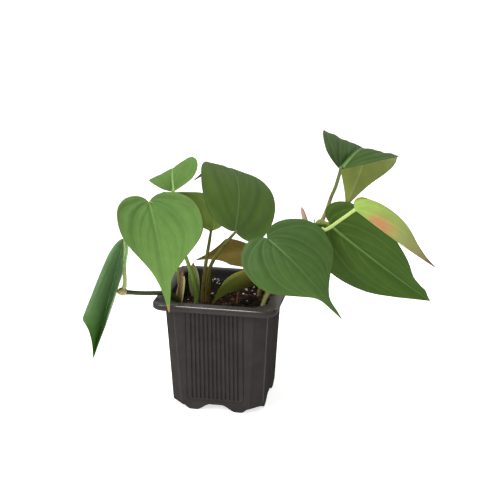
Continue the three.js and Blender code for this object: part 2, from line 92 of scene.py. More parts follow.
# %% Turn rings into a closed skin
def skin(rings, start, end, **fields):
    """Closed skin through rings[i, j], where j runs round each ring and i from one ring to the next.

    start and end are the two points that close it.
    Each field holds one value, or one vector, for each ring point. The ends take their ring's mean.
    """
    rows, around = rings.shape[:2]
    points = np.concatenate([[start], rings.reshape(-1, 3), [end]])
    i, j = np.meshgrid(np.arange(rows - 1), np.arange(around), indexing="ij")
    near, far = 1 + i * around + j, 1 + i * around + (j + 1) % around
    quads = np.stack([near, far, far + around, near + around], -1).reshape(-1, 4)
    j = np.arange(around)
    after, last = (j + 1) % around, 1 + (rows - 1) * around
    fans = np.concatenate([
        np.stack([np.zeros_like(j), 1 + after, 1 + j], -1),
        np.stack([np.full_like(j, len(points) - 1), last + j, last + after], -1)])
    a, b, c = (points[fans[:, k]] for k in range(3))
    p, q, r, s = (points[quads[:, k]] for k in range(4))
    volume = (np.einsum("ij,ij", a, np.cross(b, c)) + np.einsum("ij,ij", p, np.cross(q, r))
              + np.einsum("ij,ij", p, np.cross(r, s)))
    if volume < 0:
        quads, fans = quads[:, ::-1], fans[:, ::-1]
    flat = {}
    for name, grid in fields.items():
        grid = np.asarray(grid, float)
        values = grid.reshape(rows * around, -1)
        flat[name] = np.concatenate([values[:around].mean(0)[None], values, values[-around:].mean(0)[None]])
    return points, quads, fans, flat


def put(name, data):
    """A new object in the scene."""
    made = bpy.data.objects.new(name, data)
    bpy.context.scene.collection.objects.link(made)
    return made


def mesh_of(name, skins):
    """One mesh from a list of skins, in metres."""
    points, faces, count = [], [], 0
    for skin_points, quads, fans, _ in skins:
        points.append(skin_points)
        faces += (quads + count).tolist() + (fans + count).tolist()
        count += len(skin_points)
    mesh = bpy.data.meshes.new(name)
    mesh.from_pydata(np.concatenate(points) / 1000 + POT_AXIS, [], faces)
    return mesh


def add_piece(name, skins, material, *nodes, slot=None, sharp=None):
    """One mesh object from a list of skins. It rides on the plant and stands for the named CAD nodes."""
    mesh = mesh_of(name, skins)
    for field in skins[0][3]:
        values = np.concatenate([made[3][field] for made in skins])
        if values.shape[1] == 1:
            mesh.attributes.new(field, "FLOAT", "POINT").data.foreach_set("value", values.ravel())
        else:
            mesh.attributes.new(field, "FLOAT_VECTOR", "POINT").data.foreach_set("vector", values.ravel())
    mesh.shade_smooth()
    if sharp:
        mesh.set_sharp_from_angle(angle=math.radians(sharp))
    mesh.materials.append(material)
    piece = put(name, mesh)
    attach(piece, "root")
    if nodes:
        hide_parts(*nodes)
    print(f"{name}: {len(mesh.polygons)} faces")
    return piece


# %% [markdown]
# ## One way to make every material
#
# A material is a small network of nodes. One function adds a node, sets its values and links its inputs, so
# that the recipes below read from top to bottom. Colours are written as they look on a screen, and one
# function turns them into the linear light that Blender works with.

# %% Helpers for materials
def linear(colour):
    """Linear RGBA of an sRGB hex colour."""
    srgb = np.array([int(colour[i:i + 2], 16) / 255 for i in (1, 3, 5)])
    light = np.where(srgb <= 0.04045, srgb / 12.92, ((srgb + 0.055) / 1.055) ** 2.4)
    return (*light.tolist(), 1.0)


def node(tree, kind, inputs=(), **settings):
    """Adds a node: settings are its properties, and inputs give sockets a value or a socket to link."""
    made = tree.nodes.new(f"ShaderNode{kind}")
    for name, value in settings.items():
        setattr(made, name, value)
    for key, value in dict(inputs).items():
        if isinstance(value, bpy.types.NodeSocket):
            tree.links.new(value, made.inputs[key])
        else:
            made.inputs[key].default_value = value
    return made


def new_material(name, **uniform):
    """A material with a Principled shader, and the values that are the same all over it."""
    material = bpy.data.materials.new(name)
    material.use_nodes = True
    shader = material.node_tree.nodes["Principled BSDF"]
    for key, value in uniform.items():
        shader.inputs[key.replace("_", " ")].default_value = value
    return material, material.node_tree, shader


def blend_colour(tree, share, first, second, mode="MIX"):
    """The colour share of the way from first to second. A hex colour stands for itself."""
    first, second = (linear(c) if isinstance(c, str) else c for c in (first, second))
    mixed = node(tree, "Mix", {0: share, 6: first, 7: second}, data_type="RGBA", blend_type=mode)
    return mixed.outputs[2]


def spread(tree, value, low, high):
    """Stretches low..high of a value to 0..1, smoothly and clamped."""
    ranged = node(tree, "MapRange", {"Value": value, "From Min": low, "From Max": high},
                  interpolation_type="SMOOTHSTEP")
    return ranged.outputs["Result"]


# %% [markdown]
# ## The camera
#
# The camera stands where the photographer's stood: a long lens, about a metre away, a little above the plant
# and a little to its right. The pot has known sizes, so its corners in the picture fix the distance, the
# height and the lens.

# %% Place the camera
LENS_MM = 92.5
CAMERA_MM = np.array([201.8, -965.1, 450.9])
TARGET_MM = np.array([20.8, 0.0, 126.9])
ROLL = -0.22     # degrees about the line of sight

camera = put("camera", bpy.data.cameras.new("camera"))
bpy.context.scene.camera = camera
camera.data.lens, camera.data.sensor_width = LENS_MM, 36.0
camera.data.clip_start, camera.data.clip_end = 0.05, 20.0
toward = Vector(TARGET_MM - CAMERA_MM).normalized()
camera.location = CAMERA_MM / 1000 + POT_AXIS
camera.rotation_mode = "QUATERNION"
camera.rotation_quaternion = toward.to_track_quat("-Z", "Y")
camera.rotation_quaternion.rotate(Quaternion(toward, math.radians(ROLL)))
print("Camera at", np.round(camera.location, 3))

# %% [markdown]
# ## Light and floor
#
# The plant was photographed in a white tent: light comes from everywhere, most of it from above and from the
# front left, and the shadows are soft. A pale world light does the tent, and three wide lamps shape the
# leaves. The floor is plain and nearly white.

# %% Make the floor, the world and the lamps
bpy.context.scene.view_settings.view_transform = "Standard"

FLOOR_HALF = 6.0     # metres
# matt paper on a lit table: it glows a little, which fills the shadows from below
floor_finish, _, _ = new_material(
    "white_paper_sweep", Base_Color=linear("#e8e8e6"), Roughness=0.95, Specular_IOR_Level=0.0,
    Emission_Color=linear("#ffffff"), Emission_Strength=0.7)
floor_mesh = bpy.data.meshes.new("floor")
floor_corners = [(x * FLOOR_HALF, y * FLOOR_HALF, 0) for x, y in ((-1, -1), (1, -1), (1, 1), (-1, 1))]
floor_mesh.from_pydata(floor_corners, [], [(0, 1, 2, 3)])
floor_mesh.materials.append(floor_finish)
floor = put("floor", floor_mesh)

world = bpy.data.worlds.new("white_tent")
world.use_nodes = True
world.node_tree.nodes["Background"].inputs["Color"].default_value = linear("#ffffff")
world.node_tree.nodes["Background"].inputs["Strength"].default_value = 0.5
bpy.context.scene.world = world

LAMPS = {  # name: (place in metres from the pot's axis, side of the square in metres, watts)
    "overhead": ((-0.3, -0.1, 1.2), 0.6, 12.0),
    "front_left": ((-1.1, -1.0, 1.0), 1.0, 17.0),
    "back_right": ((0.7, 0.9, 1.0), 0.6, 3.0),
}
LAMP_TARGET = Vector((0.0, 0.0, 0.13))     # the middle of the plant
for name, (place, side, watts) in LAMPS.items():
    lamp = put(name, bpy.data.lights.new(name, "AREA"))
    lamp.data.energy, lamp.data.size = watts, side
    lamp.location = np.array(place) + POT_AXIS
    aim = LAMP_TARGET - Vector(place)
    lamp.rotation_euler = aim.to_track_quat("-Z", "Y").to_euler()
print("Lamps:", ", ".join(LAMPS))

# %% [markdown]
# ## The shape of a leaf
#
# A leaf blade is a thin sheet that hangs on three points: its base at the stalk, its tip, and a crown that
# the midrib bends towards. Its outline is drawn flat, as a heart with a long drip tip. Each half then leaves
# the midrib at an angle and curls on its way to the edge. The CAD solids use the same numbers, so the fine
# blade lies just where the coarse one is.
#
# Places are in millimetres from the pot's axis and angles are in degrees. Pairs are for the left and the
# right half. bow, lobe, drip, lean and skew are shares of the length or of the half width. waves are soft
# bays and bulges of a margin, and furrow is a depth of the veins' furrows that differs from the usual one.

# %% The numbers of each blade
LEAVES = {
    "leaf_front_left": dict(
        base=(-55, -25, 170.5), tip=(-32, -58, 90.5), bow=0.1, bow_at=0.4, roll=-25, width=71,
        fold=(3, -2), curl=(11, 26), twist=3, lobe=0.06, widest=0.25, drip=(0.53, 0.14),
        lean=-0.09, skew=0.02, waves=[(-1, 0.75, 0.08, -0.05)]),
    "leaf_small_back_left": dict(
        base=(-44.5, 10, 170.5), tip=(-52, 64.5, 164), bow=0.5, bow_at=0.79, roll=-9, width=44,
        fold=(50, 33), curl=(-34, -36), open=0.9, twist=27, lobe=0.05, widest=0.23,
        drip=(0.66, 0.19), lean=0.11, skew=0.05),
    "leaf_dark_back_left": dict(
        base=(-16.5, 25, 134.5), tip=(-65, 54.5, 156), bow=-0.02, bow_at=0.7, roll=36, width=60,
        fold=(33, 38), curl=(-16, -35), twist=-1, lobe=0.07, widest=0.24, drip=(0.64, 0.24),
        lean=-0.02, skew=0),
    "leaf_tall_centre": dict(
        base=(9, 5, 141), tip=(-40, 60, 165.5), bow=0.81, bow_at=0.74, roll=66, width=88,
        fold=(-2, -5), curl=(-9, 16), open=0.69, twist=20, lobe=0.03, widest=0.24,
        drip=(0.53, 0.27), lean=0, skew=-0.04),
    "leaf_bronze": dict(
        base=(19, 35, 112), tip=(-35.5, 40.5, 100.5), bow=0.53, bow_at=0.45, roll=137, width=39,
        fold=(-11, -26), curl=(-57, -75), twist=-9, lobe=0.08, widest=0.27, drip=(0.6, 0.18),
        lean=-0.03, skew=0.02),
    "leaf_centre_right": dict(
        base=(39, -24, 146.5), tip=(101, -37, 87), bow=0.25, bow_at=0.43, roll=0, width=74,
        fold=(-17, 4), curl=(11, -6), twist=3, lobe=0.08, widest=0.32, drip=(0.58, 0.09),
        lean=-0.06, skew=0.05,
        waves=[(-1, 0.44, 0.12, -0.06), (-1, 0.8, 0.09, -0.07), (1, 0.74, 0.09, -0.055)]),
    "leaf_low_inside": dict(
        base=(30.5, 1, 109), tip=(-8.5, -13, 82.5), bow=0.28, bow_at=0.45, roll=69, width=50,
        fold=(1, -23), curl=(1, 5), twist=-9, lobe=0.08, widest=0.24, drip=(0.73, 0.27),
        lean=-0.04, skew=0.01),
    "leaf_big_right": dict(
        base=(86, -2, 151), tip=(166.5, -5, 95.5), bow=0.05, bow_at=0.55, roll=44, width=66,
        fold=(18, 10), curl=(-21, -26), twist=-11, lobe=0.1, widest=0.24, drip=(0.77, 0.29),
        lean=0.02, skew=-0.02, waves=[(-1, 0.74, 0.08, -0.08), (-1, 0.9, 0.045, 0.06)]),
    "leaf_top_right": dict(
        base=(94, -10.3, 202), tip=(92, 50.5, 153), bow=0.95, bow_at=0.51, roll=36, width=66,
        fold=(39.5, 44.3), curl=(-23.5, -31.5), open=0.94, twist=18, lobe=0.03, widest=0.32,
        drip=(0.86, 0.43), lean=0, skew=0.03, waves=[(1, 0.47, 0.14, -0.12), (1, 0.85, 0.1, -0.05)]),
    "leaf_young": dict(
        base=(108, -28, 174.5), tip=(170, -20, 129), bow=-0.03, bow_at=0.6, roll=-39, width=35,
        fold=(59, 60), curl=(52, 48), twist=-1, lobe=0.06, widest=0.25, drip=(0.69, 0.17),
        lean=0.11, skew=-0.01),
    "leaf_far_left": dict(
        base=(-76.8, -25, 137), tip=(-104.5, -29.5, 34.5), bow=-0.42, bow_at=0.81, roll=-25, width=70.5,
        fold=(60, 60), curl=(42, 22), twist=-15, lobe=0.05, widest=0.29, drip=(0.69, 0.28),
        lean=0.07, skew=-0.09, furrow=0.5),
}
print(len(LEAVES), "blades to make")

# %% The flat heart and the curved sheet
LOBE_END = 0.45     # the share of the outline's parameter at which the heart is widest
TAIL = 0.05         # width of the drip tip's end, as a share of the half width


def pulled_curve(points, t):
    """Curve drawn by control points: the sum of each point times (top over i) t^i (1 - t)^(top - i)."""
    t = np.asarray(t, float)[..., None]
    top = len(points) - 1
    return sum(math.comb(top, i) * t**i * (1 - t)**(top - i) * np.asarray(p, float)
               for i, p in enumerate(points))


def unit(vectors):
    """The vectors with their length made 1."""
    return vectors / np.linalg.norm(vectors, axis=-1, keepdims=True)


def heart(leaf, side, s):
    """Half of the flat outline at s from 0 to 1: (share of the length, share of the half width).

    Two cubic curves: round the lobe to the widest place, then in to the drip tip. The tip keeps a little
    width, TAIL * (1 - length)^(1/3), that fades out towards the widest place. Each wave of the leaf,
    (side, at, width, out), adds out * exp(-((length - at) / width)^2) to one side's margin.
    """
    back, widest = leaf["lobe"] / 0.085, leaf["widest"] - side * leaf["skew"]
    lobe = pulled_curve([(0, 0), (-0.17 * back, 0.15), (-0.14 * back, 1), (widest, 1)],
                        np.clip(s / LOBE_END, 0, 1))
    point = pulled_curve([(widest, 1), (widest + 0.3, 1), leaf["drip"], (1, 0)],
                         np.clip((s - LOBE_END) / (1 - LOBE_END), 0, 1))
    fade = np.clip((s - LOBE_END) / (1 - LOBE_END), 0, 1)**2
    point[..., 1] += TAIL * fade * np.clip(1 - point[..., 0], 0, 1)**(1 / 3)
    edge = np.where((s < LOBE_END)[..., None], lobe, point)
    for half, at, width, out in leaf.get("waves", ()):
        edge[..., 1] += out * (half == side) * np.exp(-((edge[..., 0] - at) / width)**2)
    return edge


def flat_place(leaf, side, s, share):
    """Where row s of the grid, share of the way from midrib to edge, lies on the flat heart."""
    edge, rib = heart(leaf, side, s), s**1.8
    return rib + (edge[..., 0] - rib) * share, edge[..., 1] * share


def sheet_point(leaf, side, u, v):
    """The flat place (u along, v outward) on the curved sheet, and the sheet's length.

    The midrib is a quadratic curve. Outward, the half bends as a circular arc: it leaves the midrib at
    the fold angle and turns by the curl angle before it reaches the edge. Half way along, the blade has
    lost the share named open of both angles.
    """
    base, tip = (np.array(leaf[k], float) for k in ("base", "tip"))
    chord = tip - base
    along = unit(chord)
    facing = np.array([0.0, -1.0, 1.0])
    facing = unit(facing - facing @ along * along)
    roll = math.radians(leaf["roll"])
    facing = facing * math.cos(roll) + np.cross(along, facing) * math.sin(roll)
    crown = base + chord * leaf["bow_at"] + facing * leaf["bow"] * np.linalg.norm(chord)
    across = np.cross(along, facing)
    t = np.clip(u, 0, 1)
    rib = pulled_curve([base, crown, tip], t)
    forward = unit(pulled_curve([crown - base, tip - crown], t))
    fine = pulled_curve([base, crown, tip], np.linspace(0, 1, 200))
    length = np.linalg.norm(np.diff(fine, axis=0), axis=1).sum()
    turn = np.radians(leaf["twist"]) * t[..., None]
    up = np.cross(across, forward)
    sideways = across * np.cos(turn) + up * np.sin(turn)
    out = up * np.cos(turn) - across * np.sin(turn)
    half = leaf["width"] / 2 * (1 + side * leaf["lean"])
    ease = 1 - leaf.get("open", 0) * np.sin(math.pi * t)
    fold = ease * np.radians(np.where(side < 0, *leaf["fold"]))
    curl = ease * np.radians(np.where(side < 0, *leaf["curl"]))
    curl = np.where(curl == 0, 1e-3, curl)
    reach = half / curl * (np.sin(fold + curl * v) - np.sin(fold))
    lift = -half / curl * (np.cos(fold + curl * v) - np.cos(fold))
    place = rib + sideways * (side * reach)[..., None] + out * lift[..., None]
    return place + unit(crown - base) * (np.minimum(u, 0) * length)[..., None], length


# %% [markdown]
# ## The veins
#
# A philodendron's main veins all start near the stalk, run out into the blade and then bend forward along
# the edge. They lie in soft furrows on the upper face and stand out as ribs below. Each vein is a smooth
# line on the flat heart. The distance from every point of the blade to the nearest line gives both the
# furrow in the mesh and the pale line in the colour.

# %% Draw the veins on the flat heart
VEINS = [   # points as (row of the grid, share of the way from midrib to edge), and the vein's strength
    ([(0, 0), (0.5, 0), (1, 0)], 1.0),      # the midrib
    ([(0, 0), (0.16, 0.24), (0.29, 0.36), (0.40, 0.47), (0.48, 0.57), (0.56, 0.65), (0.64, 0.73),
      (0.72, 0.83), (0.78, 1)], 0.9),
    ([(0, 0), (0.14, 0.45), (0.26, 0.63), (0.355, 0.83), (0.42, 0.89), (0.505, 0.94), (0.59, 1)], 0.8),
    ([(0, 0), (0.1, 0.6), (0.2, 0.85), (0.3, 0.95), (0.38, 1)], 0.3),
    ([(0.25, 0), (0.36, 0.16), (0.46, 0.3), (0.56, 0.43), (0.66, 0.56), (0.76, 0.72), (0.86, 1)], 0.5),
    ([(0.43, 0), (0.53, 0.15), (0.63, 0.29), (0.73, 0.46), (0.83, 0.68), (0.91, 1)], 0.3),
]


def smooth_path(points, per_span=8):
    """Smooth curve through the points: cubic spans whose knots lie sqrt(distance) apart."""
    points = np.asarray(points, float)
    full = np.concatenate([[2 * points[0] - points[1]], points, [2 * points[-1] - points[-2]]])
    step = np.sqrt(np.linalg.norm(np.diff(full, axis=0), axis=1))[:, None]
    slope = np.diff(full, axis=0) / step
    joint = (slope[:-1] * step[1:] + slope[1:] * step[:-1]) / (step[:-1] + step[1:])
    a, b, width = full[1:-2], full[2:-1], step[1:-1]
    t = np.linspace(0, 1, per_span, endpoint=False)[:, None, None]
    spans = ((2 * t**3 - 3 * t**2 + 1) * a + (t**3 - 2 * t**2 + t) * width * joint[:-1]
             + (3 * t**2 - 2 * t**3) * b + (t**3 - t**2) * width * joint[1:])
    return np.concatenate([spans.transpose(1, 0, 2).reshape(-1, points.shape[1]), points[-1:]])


def line_distance(points, line):
    """Distance from each 2-D point to a polyline, and how far along the line its nearest place is."""
    a, step = line[:-1], np.diff(line, axis=0)
    gap = points[:, None] - a
    t = np.clip((gap * step).sum(-1) / (step**2).sum(-1), 0, 1)
    far = np.linalg.norm(gap - t[..., None] * step, axis=-1)
    nearest = far.argmin(1)
    rows = np.arange(len(points))
    return far[rows, nearest], (nearest + t[rows, nearest]) / len(step)


# %% [markdown]
# ## A blade as a closed skin
#
# The sheet gets two faces, a little apart, that meet in a thin rounded edge. The rings of the skin run
# across the blade on its upper face and back on its lower one, so base and tip are the two closing points.

# %% Make one blade
HALF_THICK = 0.3       # half of the blade's thickness at the midrib, in mm
EDGE_SHARE = 0.45      # the part of it that is left at the edge
VEIN_FADE = 0.8        # the part of a vein's strength that is gone at its end
LINE_END, LINE_GROWTH = 0.35, 0.45     # half width of a pale line in mm: at its least, and what strength adds


def both_faces(above, below):
    """A grid of values for the upper face, then one for the lower face, read back across."""
    return np.concatenate([above, below[:, -2:0:-1]], axis=1)


def blade_skin(leaf, rows=150, ribs=36, veins=VEINS, furrow=0.5, reach=2.4, thick=HALF_THICK):
    """The curved sheet with furrows along its veins, given two faces.

    furrow is the depth of the main veins and reach the half width of their furrows, in mm. A blade point
    moves off the sheet by furrow times the largest exp(-(distance / reach)^2) over the veins. Each vein's
    strength tapers on its way, and its pale line is exp(-(distance / half width)^2) times that.
    """
    s = np.linspace(0, 1, rows + 1)[1:-1, None]
    column = np.linspace(-1, 1, 2 * ribs + 1)[None]
    s, column = np.broadcast_arrays(s, column)
    side, share = np.where(column < 0, -1, 1), np.abs(column)
    left, right = flat_place(leaf, -1, s, share), flat_place(leaf, 1, s, share)
    u, v = (np.where(side < 0, a, b) for a, b in zip(left, right))
    middle, length = sheet_point(leaf, side, u, v)
    half = leaf["width"] / 2
    flat = np.stack([v * half * side, u * length, np.zeros_like(u)], -1)

    midrib, side_vein, hollow = (np.zeros(s.size) for _ in range(3))
    for way in (-1, 1):
        mine = (side == way).ravel()
        spots = flat[..., :2].reshape(-1, 2)[mine] * (way, 1)
        for points, strength in veins:
            row, out = smooth_path(points).T
            along, outward = flat_place(leaf, way, np.clip(row, 0, 1), np.clip(out, 0, 1))
            far, place = line_distance(spots, np.stack([outward * half, along * length], -1))
            taper = strength * (1 - VEIN_FADE * place)
            is_midrib = strength == 1
            vein, shown = (midrib, taper) if is_midrib else (side_vein, taper**0.5)
            line = LINE_END + LINE_GROWTH * taper
            vein[mine] = np.maximum(vein[mine], shown * np.exp(-(far / line)**2))
            hollow[mine] = np.maximum(hollow[mine], taper * np.exp(-(far / reach)**2))
    midrib, side_vein, hollow = (values.reshape(s.shape) for values in (midrib, side_vein, hollow))

    down, right = np.gradient(middle, axis=0), np.gradient(middle, axis=1)
    normal = unit(np.cross(right, down))
    middle = middle - normal * (furrow * hollow)[..., None]
    edge = np.sqrt(np.clip(1 - share**6, 0, 1)) * (1 - (1 - EDGE_SHARE) * share**2)
    lift = normal * (thick * np.minimum(edge, 1))[..., None]
    rings = both_faces(middle + lift, middle - lift)
    upper = both_faces(np.ones_like(u), np.zeros_like(u))
    ends = [sheet_point(leaf, np.array([1]), np.array([x]), np.array([0.0]))[0][0] for x in (0.0, 1.0)]
    fields = dict(midrib=midrib, side_vein=side_vein, hollow=hollow, margin=share, along=u,
                  across=share * side, flat=flat)
    fields = {name: both_faces(grid, grid) for name, grid in fields.items()}
    return skin(rings, *ends, upper=upper, **fields)


# %% [markdown]
# ## Living leaf
#
# The upper face of this plant is velvety: fine hairs scatter the light, so it has a soft sheen and no sharp
# highlight. Sunken veins show paler, and a thin band at the edge turns yellowish. The furrows along the veins
# are painted darker and the bulges between them lighter, as painted shade and light, and on one leaf painted
# light makes the right half lighter. The underside is duller, with reddish or yellow-green tones. One recipe
# makes all the leaves.
# Their ages differ, and so do their colours.

# %% A recipe for leaf tissue
def scaled(tree, colour, factor):
    """A colour made lighter or darker by the factor that a socket gives."""
    return blend_colour(tree, 1.0, colour, factor, "MULTIPLY")


def remapped(tree, value, low, high, to_low, to_high):
    """Stretches low..high of a value to to_low..to_high, clamped."""
    return node(tree, "MapRange", {"Value": value, "From Min": low, "From Max": high, "To Min": to_low,
                                   "To Max": to_high}).outputs["Result"]


def leaf_material(name, colours, right=1.0, side_veins=1.3, tip_from=0.95, blush=None, blush_at=0.0):
    """Velvety upper face and dull underside, mixed by the blade's own attributes.

    right is how much lighter the leaf's right half is painted than its left one, as painted light, side_veins
    how light the side veins are beside the tissue round them, and tip_from the share of the length where the
    tip's colour starts.
    blush is a flush of another colour in the middle of a young blade, blush_at across it.
    """
    material, tree, shader = new_material(name, Roughness=0.55, Specular_IOR_Level=0.12, Sheen_Weight=0.015,
                                          Sheen_Roughness=0.4, Sheen_Tint=linear("#dff0d0"))
    field = {key: node(tree, "Attribute", attribute_name=key).outputs
             for key in ("midrib", "side_vein", "hollow", "margin", "along", "across", "upper", "flat")}
    share = {key: out["Fac"] for key, out in field.items()}
    # blotches about 11 mm across, and cells drawn at 0.8 mm, coarser than real ones, so that they show.
    # Both are read from the flat blade, which is in millimetres
    flat = field["flat"]["Vector"]
    mottle = node(tree, "TexNoise",
                  {"Vector": flat, "Scale": 0.09, "Detail": 3.0, "Roughness": 0.6}).outputs[0]
    cells = node(tree, "TexNoise", {"Vector": flat, "Scale": 1.3, "Detail": 2.0}).outputs[0]
    outward = spread(tree, share["along"], -0.1, 0.95)
    top = blend_colour(tree, outward, colours["face"], colours["point"])
    low = blend_colour(tree, outward, colours["under"], colours["under_point"])
    if blush:       # it comes and goes along the blade, and fades out to both sides of its place
        comes, goes = spread(tree, share["along"], 0.06, 0.2), spread(tree, share["along"], 0.5, 0.25)
        flush = node(tree, "Math", {0: comes, 1: goes}, operation="MULTIPLY").outputs[0]
        off_centre = node(tree, "Math", {0: share["across"], 1: blush_at}, operation="SUBTRACT").outputs[0]
        off_centre = node(tree, "Math", {0: off_centre}, operation="ABSOLUTE").outputs[0]
        near = spread(tree, off_centre, 0.75, 0.15)
        flush = node(tree, "Math", {0: flush, 1: near}, operation="MULTIPLY").outputs[0]
        top, low = (blend_colour(tree, flush, colour, blush) for colour in (top, low))
    # painted shade: the tissue in the furrows along the veins is darkened, and the rest lightened a little
    top = scaled(tree, top, remapped(tree, share["hollow"], 0.0, 0.9, 1.08, 0.78))
    top = scaled(tree, top, remapped(tree, share["side_vein"], 0.0, 1.0, 1.0, side_veins))
    top = blend_colour(tree, share["midrib"], top, colours["vein"])
    low = blend_colour(tree, share["midrib"], low, colours["below"])
    low = scaled(tree, low, remapped(tree, share["side_vein"], 0.0, 1.0, 1.0, 1.15))
    colour = blend_colour(tree, share["upper"], low, top)
    # painted light: one half of the blade lighter than the other, by the factor right
    colour = scaled(tree, colour, remapped(tree, share["across"], -0.8, 0.8, right**-0.5, right**0.5))
    colour = scaled(tree, colour, remapped(tree, mottle, 0.3, 0.7, 0.92, 1.08))
    colour = scaled(tree, colour, remapped(tree, cells, 0.3, 0.7, 0.95, 1.05))
    colour = blend_colour(tree, spread(tree, share["margin"], 0.97, 1.0), colour, colours["edge"])
    at_tip = spread(tree, share["along"], tip_from, tip_from + 0.06)
    colour = blend_colour(tree, at_tip, colour, colours["tip"])
    tree.links.new(colour, shader.inputs["Base Color"])
    bump = node(tree, "Bump", {"Height": cells, "Strength": 0.25, "Distance": 0.0002})
    tree.links.new(bump.outputs[0], shader.inputs["Normal"])
    return material


# %% The colours of each leaf, and the blades
# near the stalk and near the tip, above and below; the midrib above and below; the margin; the drip tip
PARTS = ("face", "point", "under", "under_point", "vein", "below", "edge", "tip")
COLOURS = {
    "leaf_front_left":
        ("#547438", "#698b45", "#9cae68", "#9cae68", "#6f9450", "#b8c88a", "#6f6a38", "#a8824e"),
    "leaf_small_back_left":
        ("#4d6a2e", "#4c6c2c", "#98a860", "#98a860", "#84a866", "#b8c88a", "#5a6430", "#5e6a34"),
    "leaf_dark_back_left":
        ("#70863a", "#5c6f30", "#5f6630", "#5f6630", "#7c9450", "#7c8044", "#6c5a34", "#5c4a30"),
    "leaf_tall_centre":
        ("#4e6828", "#2f421c", "#7c8a50", "#7c8a50", "#6c8c4c", "#9cac70", "#343e22", "#5c4430"),
    "leaf_bronze":
        ("#4a6034", "#3c5028", "#928042", "#8e7c42", "#7c8a50", "#9c7c4c", "#6c5a30", "#a8604a"),
    "leaf_centre_right":
        ("#364f20", "#46602e", "#8c9a58", "#8c9a58", "#5c8044", "#a8b478", "#5a6434", "#8a5440"),
    "leaf_low_inside":
        ("#44602c", "#3a5424", "#98863a", "#a8bc58", "#6c7c40", "#9c9c50", "#7c8a3c", "#6c5a2a"),
    "leaf_big_right":
        ("#3a521a", "#304a10", "#7c8a4a", "#7c8a4a", "#6a8c4a", "#9cac70", "#34482a", "#4c6a34"),
    "leaf_top_right":
        ("#344c1c", "#344c1a", "#7e8e4e", "#747f3c", "#6c9050", "#a8b478", "#34402a", "#4c4034"),
    "leaf_young":
        ("#a8a850", "#98984a", "#8ca84e", "#706446", "#c8c878", "#a0a45c", "#8a7044", "#6a4038"),
    "leaf_far_left":
        ("#8cae80", "#427022", "#6c8a50", "#6c8a50", "#86aa78", "#8ca468", "#5c7c50", "#6c7c48"),
}
HABITS = {   # what sets a leaf's recipe apart
    "leaf_front_left": dict(side_veins=1.25, tip_from=0.92),
    "leaf_tall_centre": dict(side_veins=1.0, tip_from=0.86),
    # right: its right half painted lighter, as painted light
    "leaf_centre_right": dict(right=1.15, side_veins=1.6),
    "leaf_big_right": dict(side_veins=1.8),
    "leaf_top_right": dict(side_veins=1.7),
    "leaf_young": dict(blush="#a87850", blush_at=0.1, tip_from=0.82),
    "leaf_far_left": dict(side_veins=1.0),
}
SMALL_WIDTH = 52                                     # mm: narrower blades have finer veins
FINE_VEINS, BROAD_VEINS = (1.0, 2.6), (2.2, 4.4)     # depth and half width of the furrows, in mm
for name, leaf in LEAVES.items():
    finish = leaf_material(f"living_{name}", dict(zip(PARTS, COLOURS[name])), **HABITS.get(name, {}))
    furrow, reach = FINE_VEINS if leaf["width"] < SMALL_WIDTH else BROAD_VEINS
    blade = blade_skin(leaf, furrow=leaf.get("furrow", furrow), reach=reach)
    add_piece(f"{name}_blade", [blade], finish, name)

# %% [markdown]
# ## Stems and stalks
#
# A stalk is round, a little thicker where it leaves the stem and where it carries the blade. It is a circle
# carried along a smooth path. The path is the same as the CAD tube's.

# %% Carry a circle along a path
def tube(points, radii, around=28, per_span=14, groove=0.0, streak=0.0, age=(0, 1)):
    """Round tube along a smooth path. radii lists (share of the way, radius in mm), joined smoothly.

    A groove makes the section shallower on its front: radius times 1 - groove * exp(-(angle / 0.5)^2).
    age says where the tube's two ends stand between the old foot and the young top of its plant part.
    """
    path = smooth_path(points, per_span)
    step = np.linalg.norm(np.diff(path, axis=0), axis=1)
    way = np.concatenate([[0], np.cumsum(step)]) / step.sum()
    forward = unit(np.gradient(path, axis=0))
    sideways = unit(np.cross(forward, (0.0, 1.0, 0.0)))
    front = np.cross(forward, sideways)
    radius = np.interp(way, *np.array(radii).T)
    angle = np.linspace(-math.pi, math.pi, around, endpoint=False)
    section = 1 - groove * np.exp(-(angle / 0.5)**2) + streak * np.sin(angle * 5)
    arm = radius[:, None] * section
    rings = (path[:, None] + sideways[:, None] * (arm * np.sin(angle))[..., None]
             + front[:, None] * (arm * np.cos(angle))[..., None])
    along = np.broadcast_to(np.interp(way, (0, 1), age)[:, None], arm.shape)
    return skin(rings, path[0], path[-1], along=along, joint=np.zeros(arm.shape))


def sphere(around, rows):
    """Rings of a sphere of radius 1, with the angle from its top and the angle round it."""
    polar = np.linspace(0, math.pi, rows + 2)[1:-1, None]
    turn = np.linspace(0, 2 * math.pi, around, endpoint=False)[None]
    level = np.sin(polar)
    return np.stack([level * np.cos(turn), level * np.sin(turn), np.cos(polar) + 0 * turn], -1), polar, turn


def knob(at, size, lumps=0.08, around=28, rows=16):
    """Swollen joint: an ellipsoid whose girth varies by a share, lumps, with the angles."""
    ball, polar, turn = sphere(around, rows)
    swell = 1 + lumps * np.sin(3 * turn + 2 * polar) * np.sin(polar)
    rings = ball * np.stack([swell, swell, np.ones_like(swell)], -1) * size + at
    ends = [np.array(at) + (0, 0, z * size[2]) for z in (1, -1)]
    return skin(rings, *ends, along=np.full(rings.shape[:2], 0.5), joint=np.ones(rings.shape[:2]))


# %% [markdown]
# ## Stem skin
#
# A young stem is smooth and green. Older parts turn olive or beige. Fine lines run along it. The colour
# shifts from the foot to the top, so the recipe reads how far along the stem a point is.

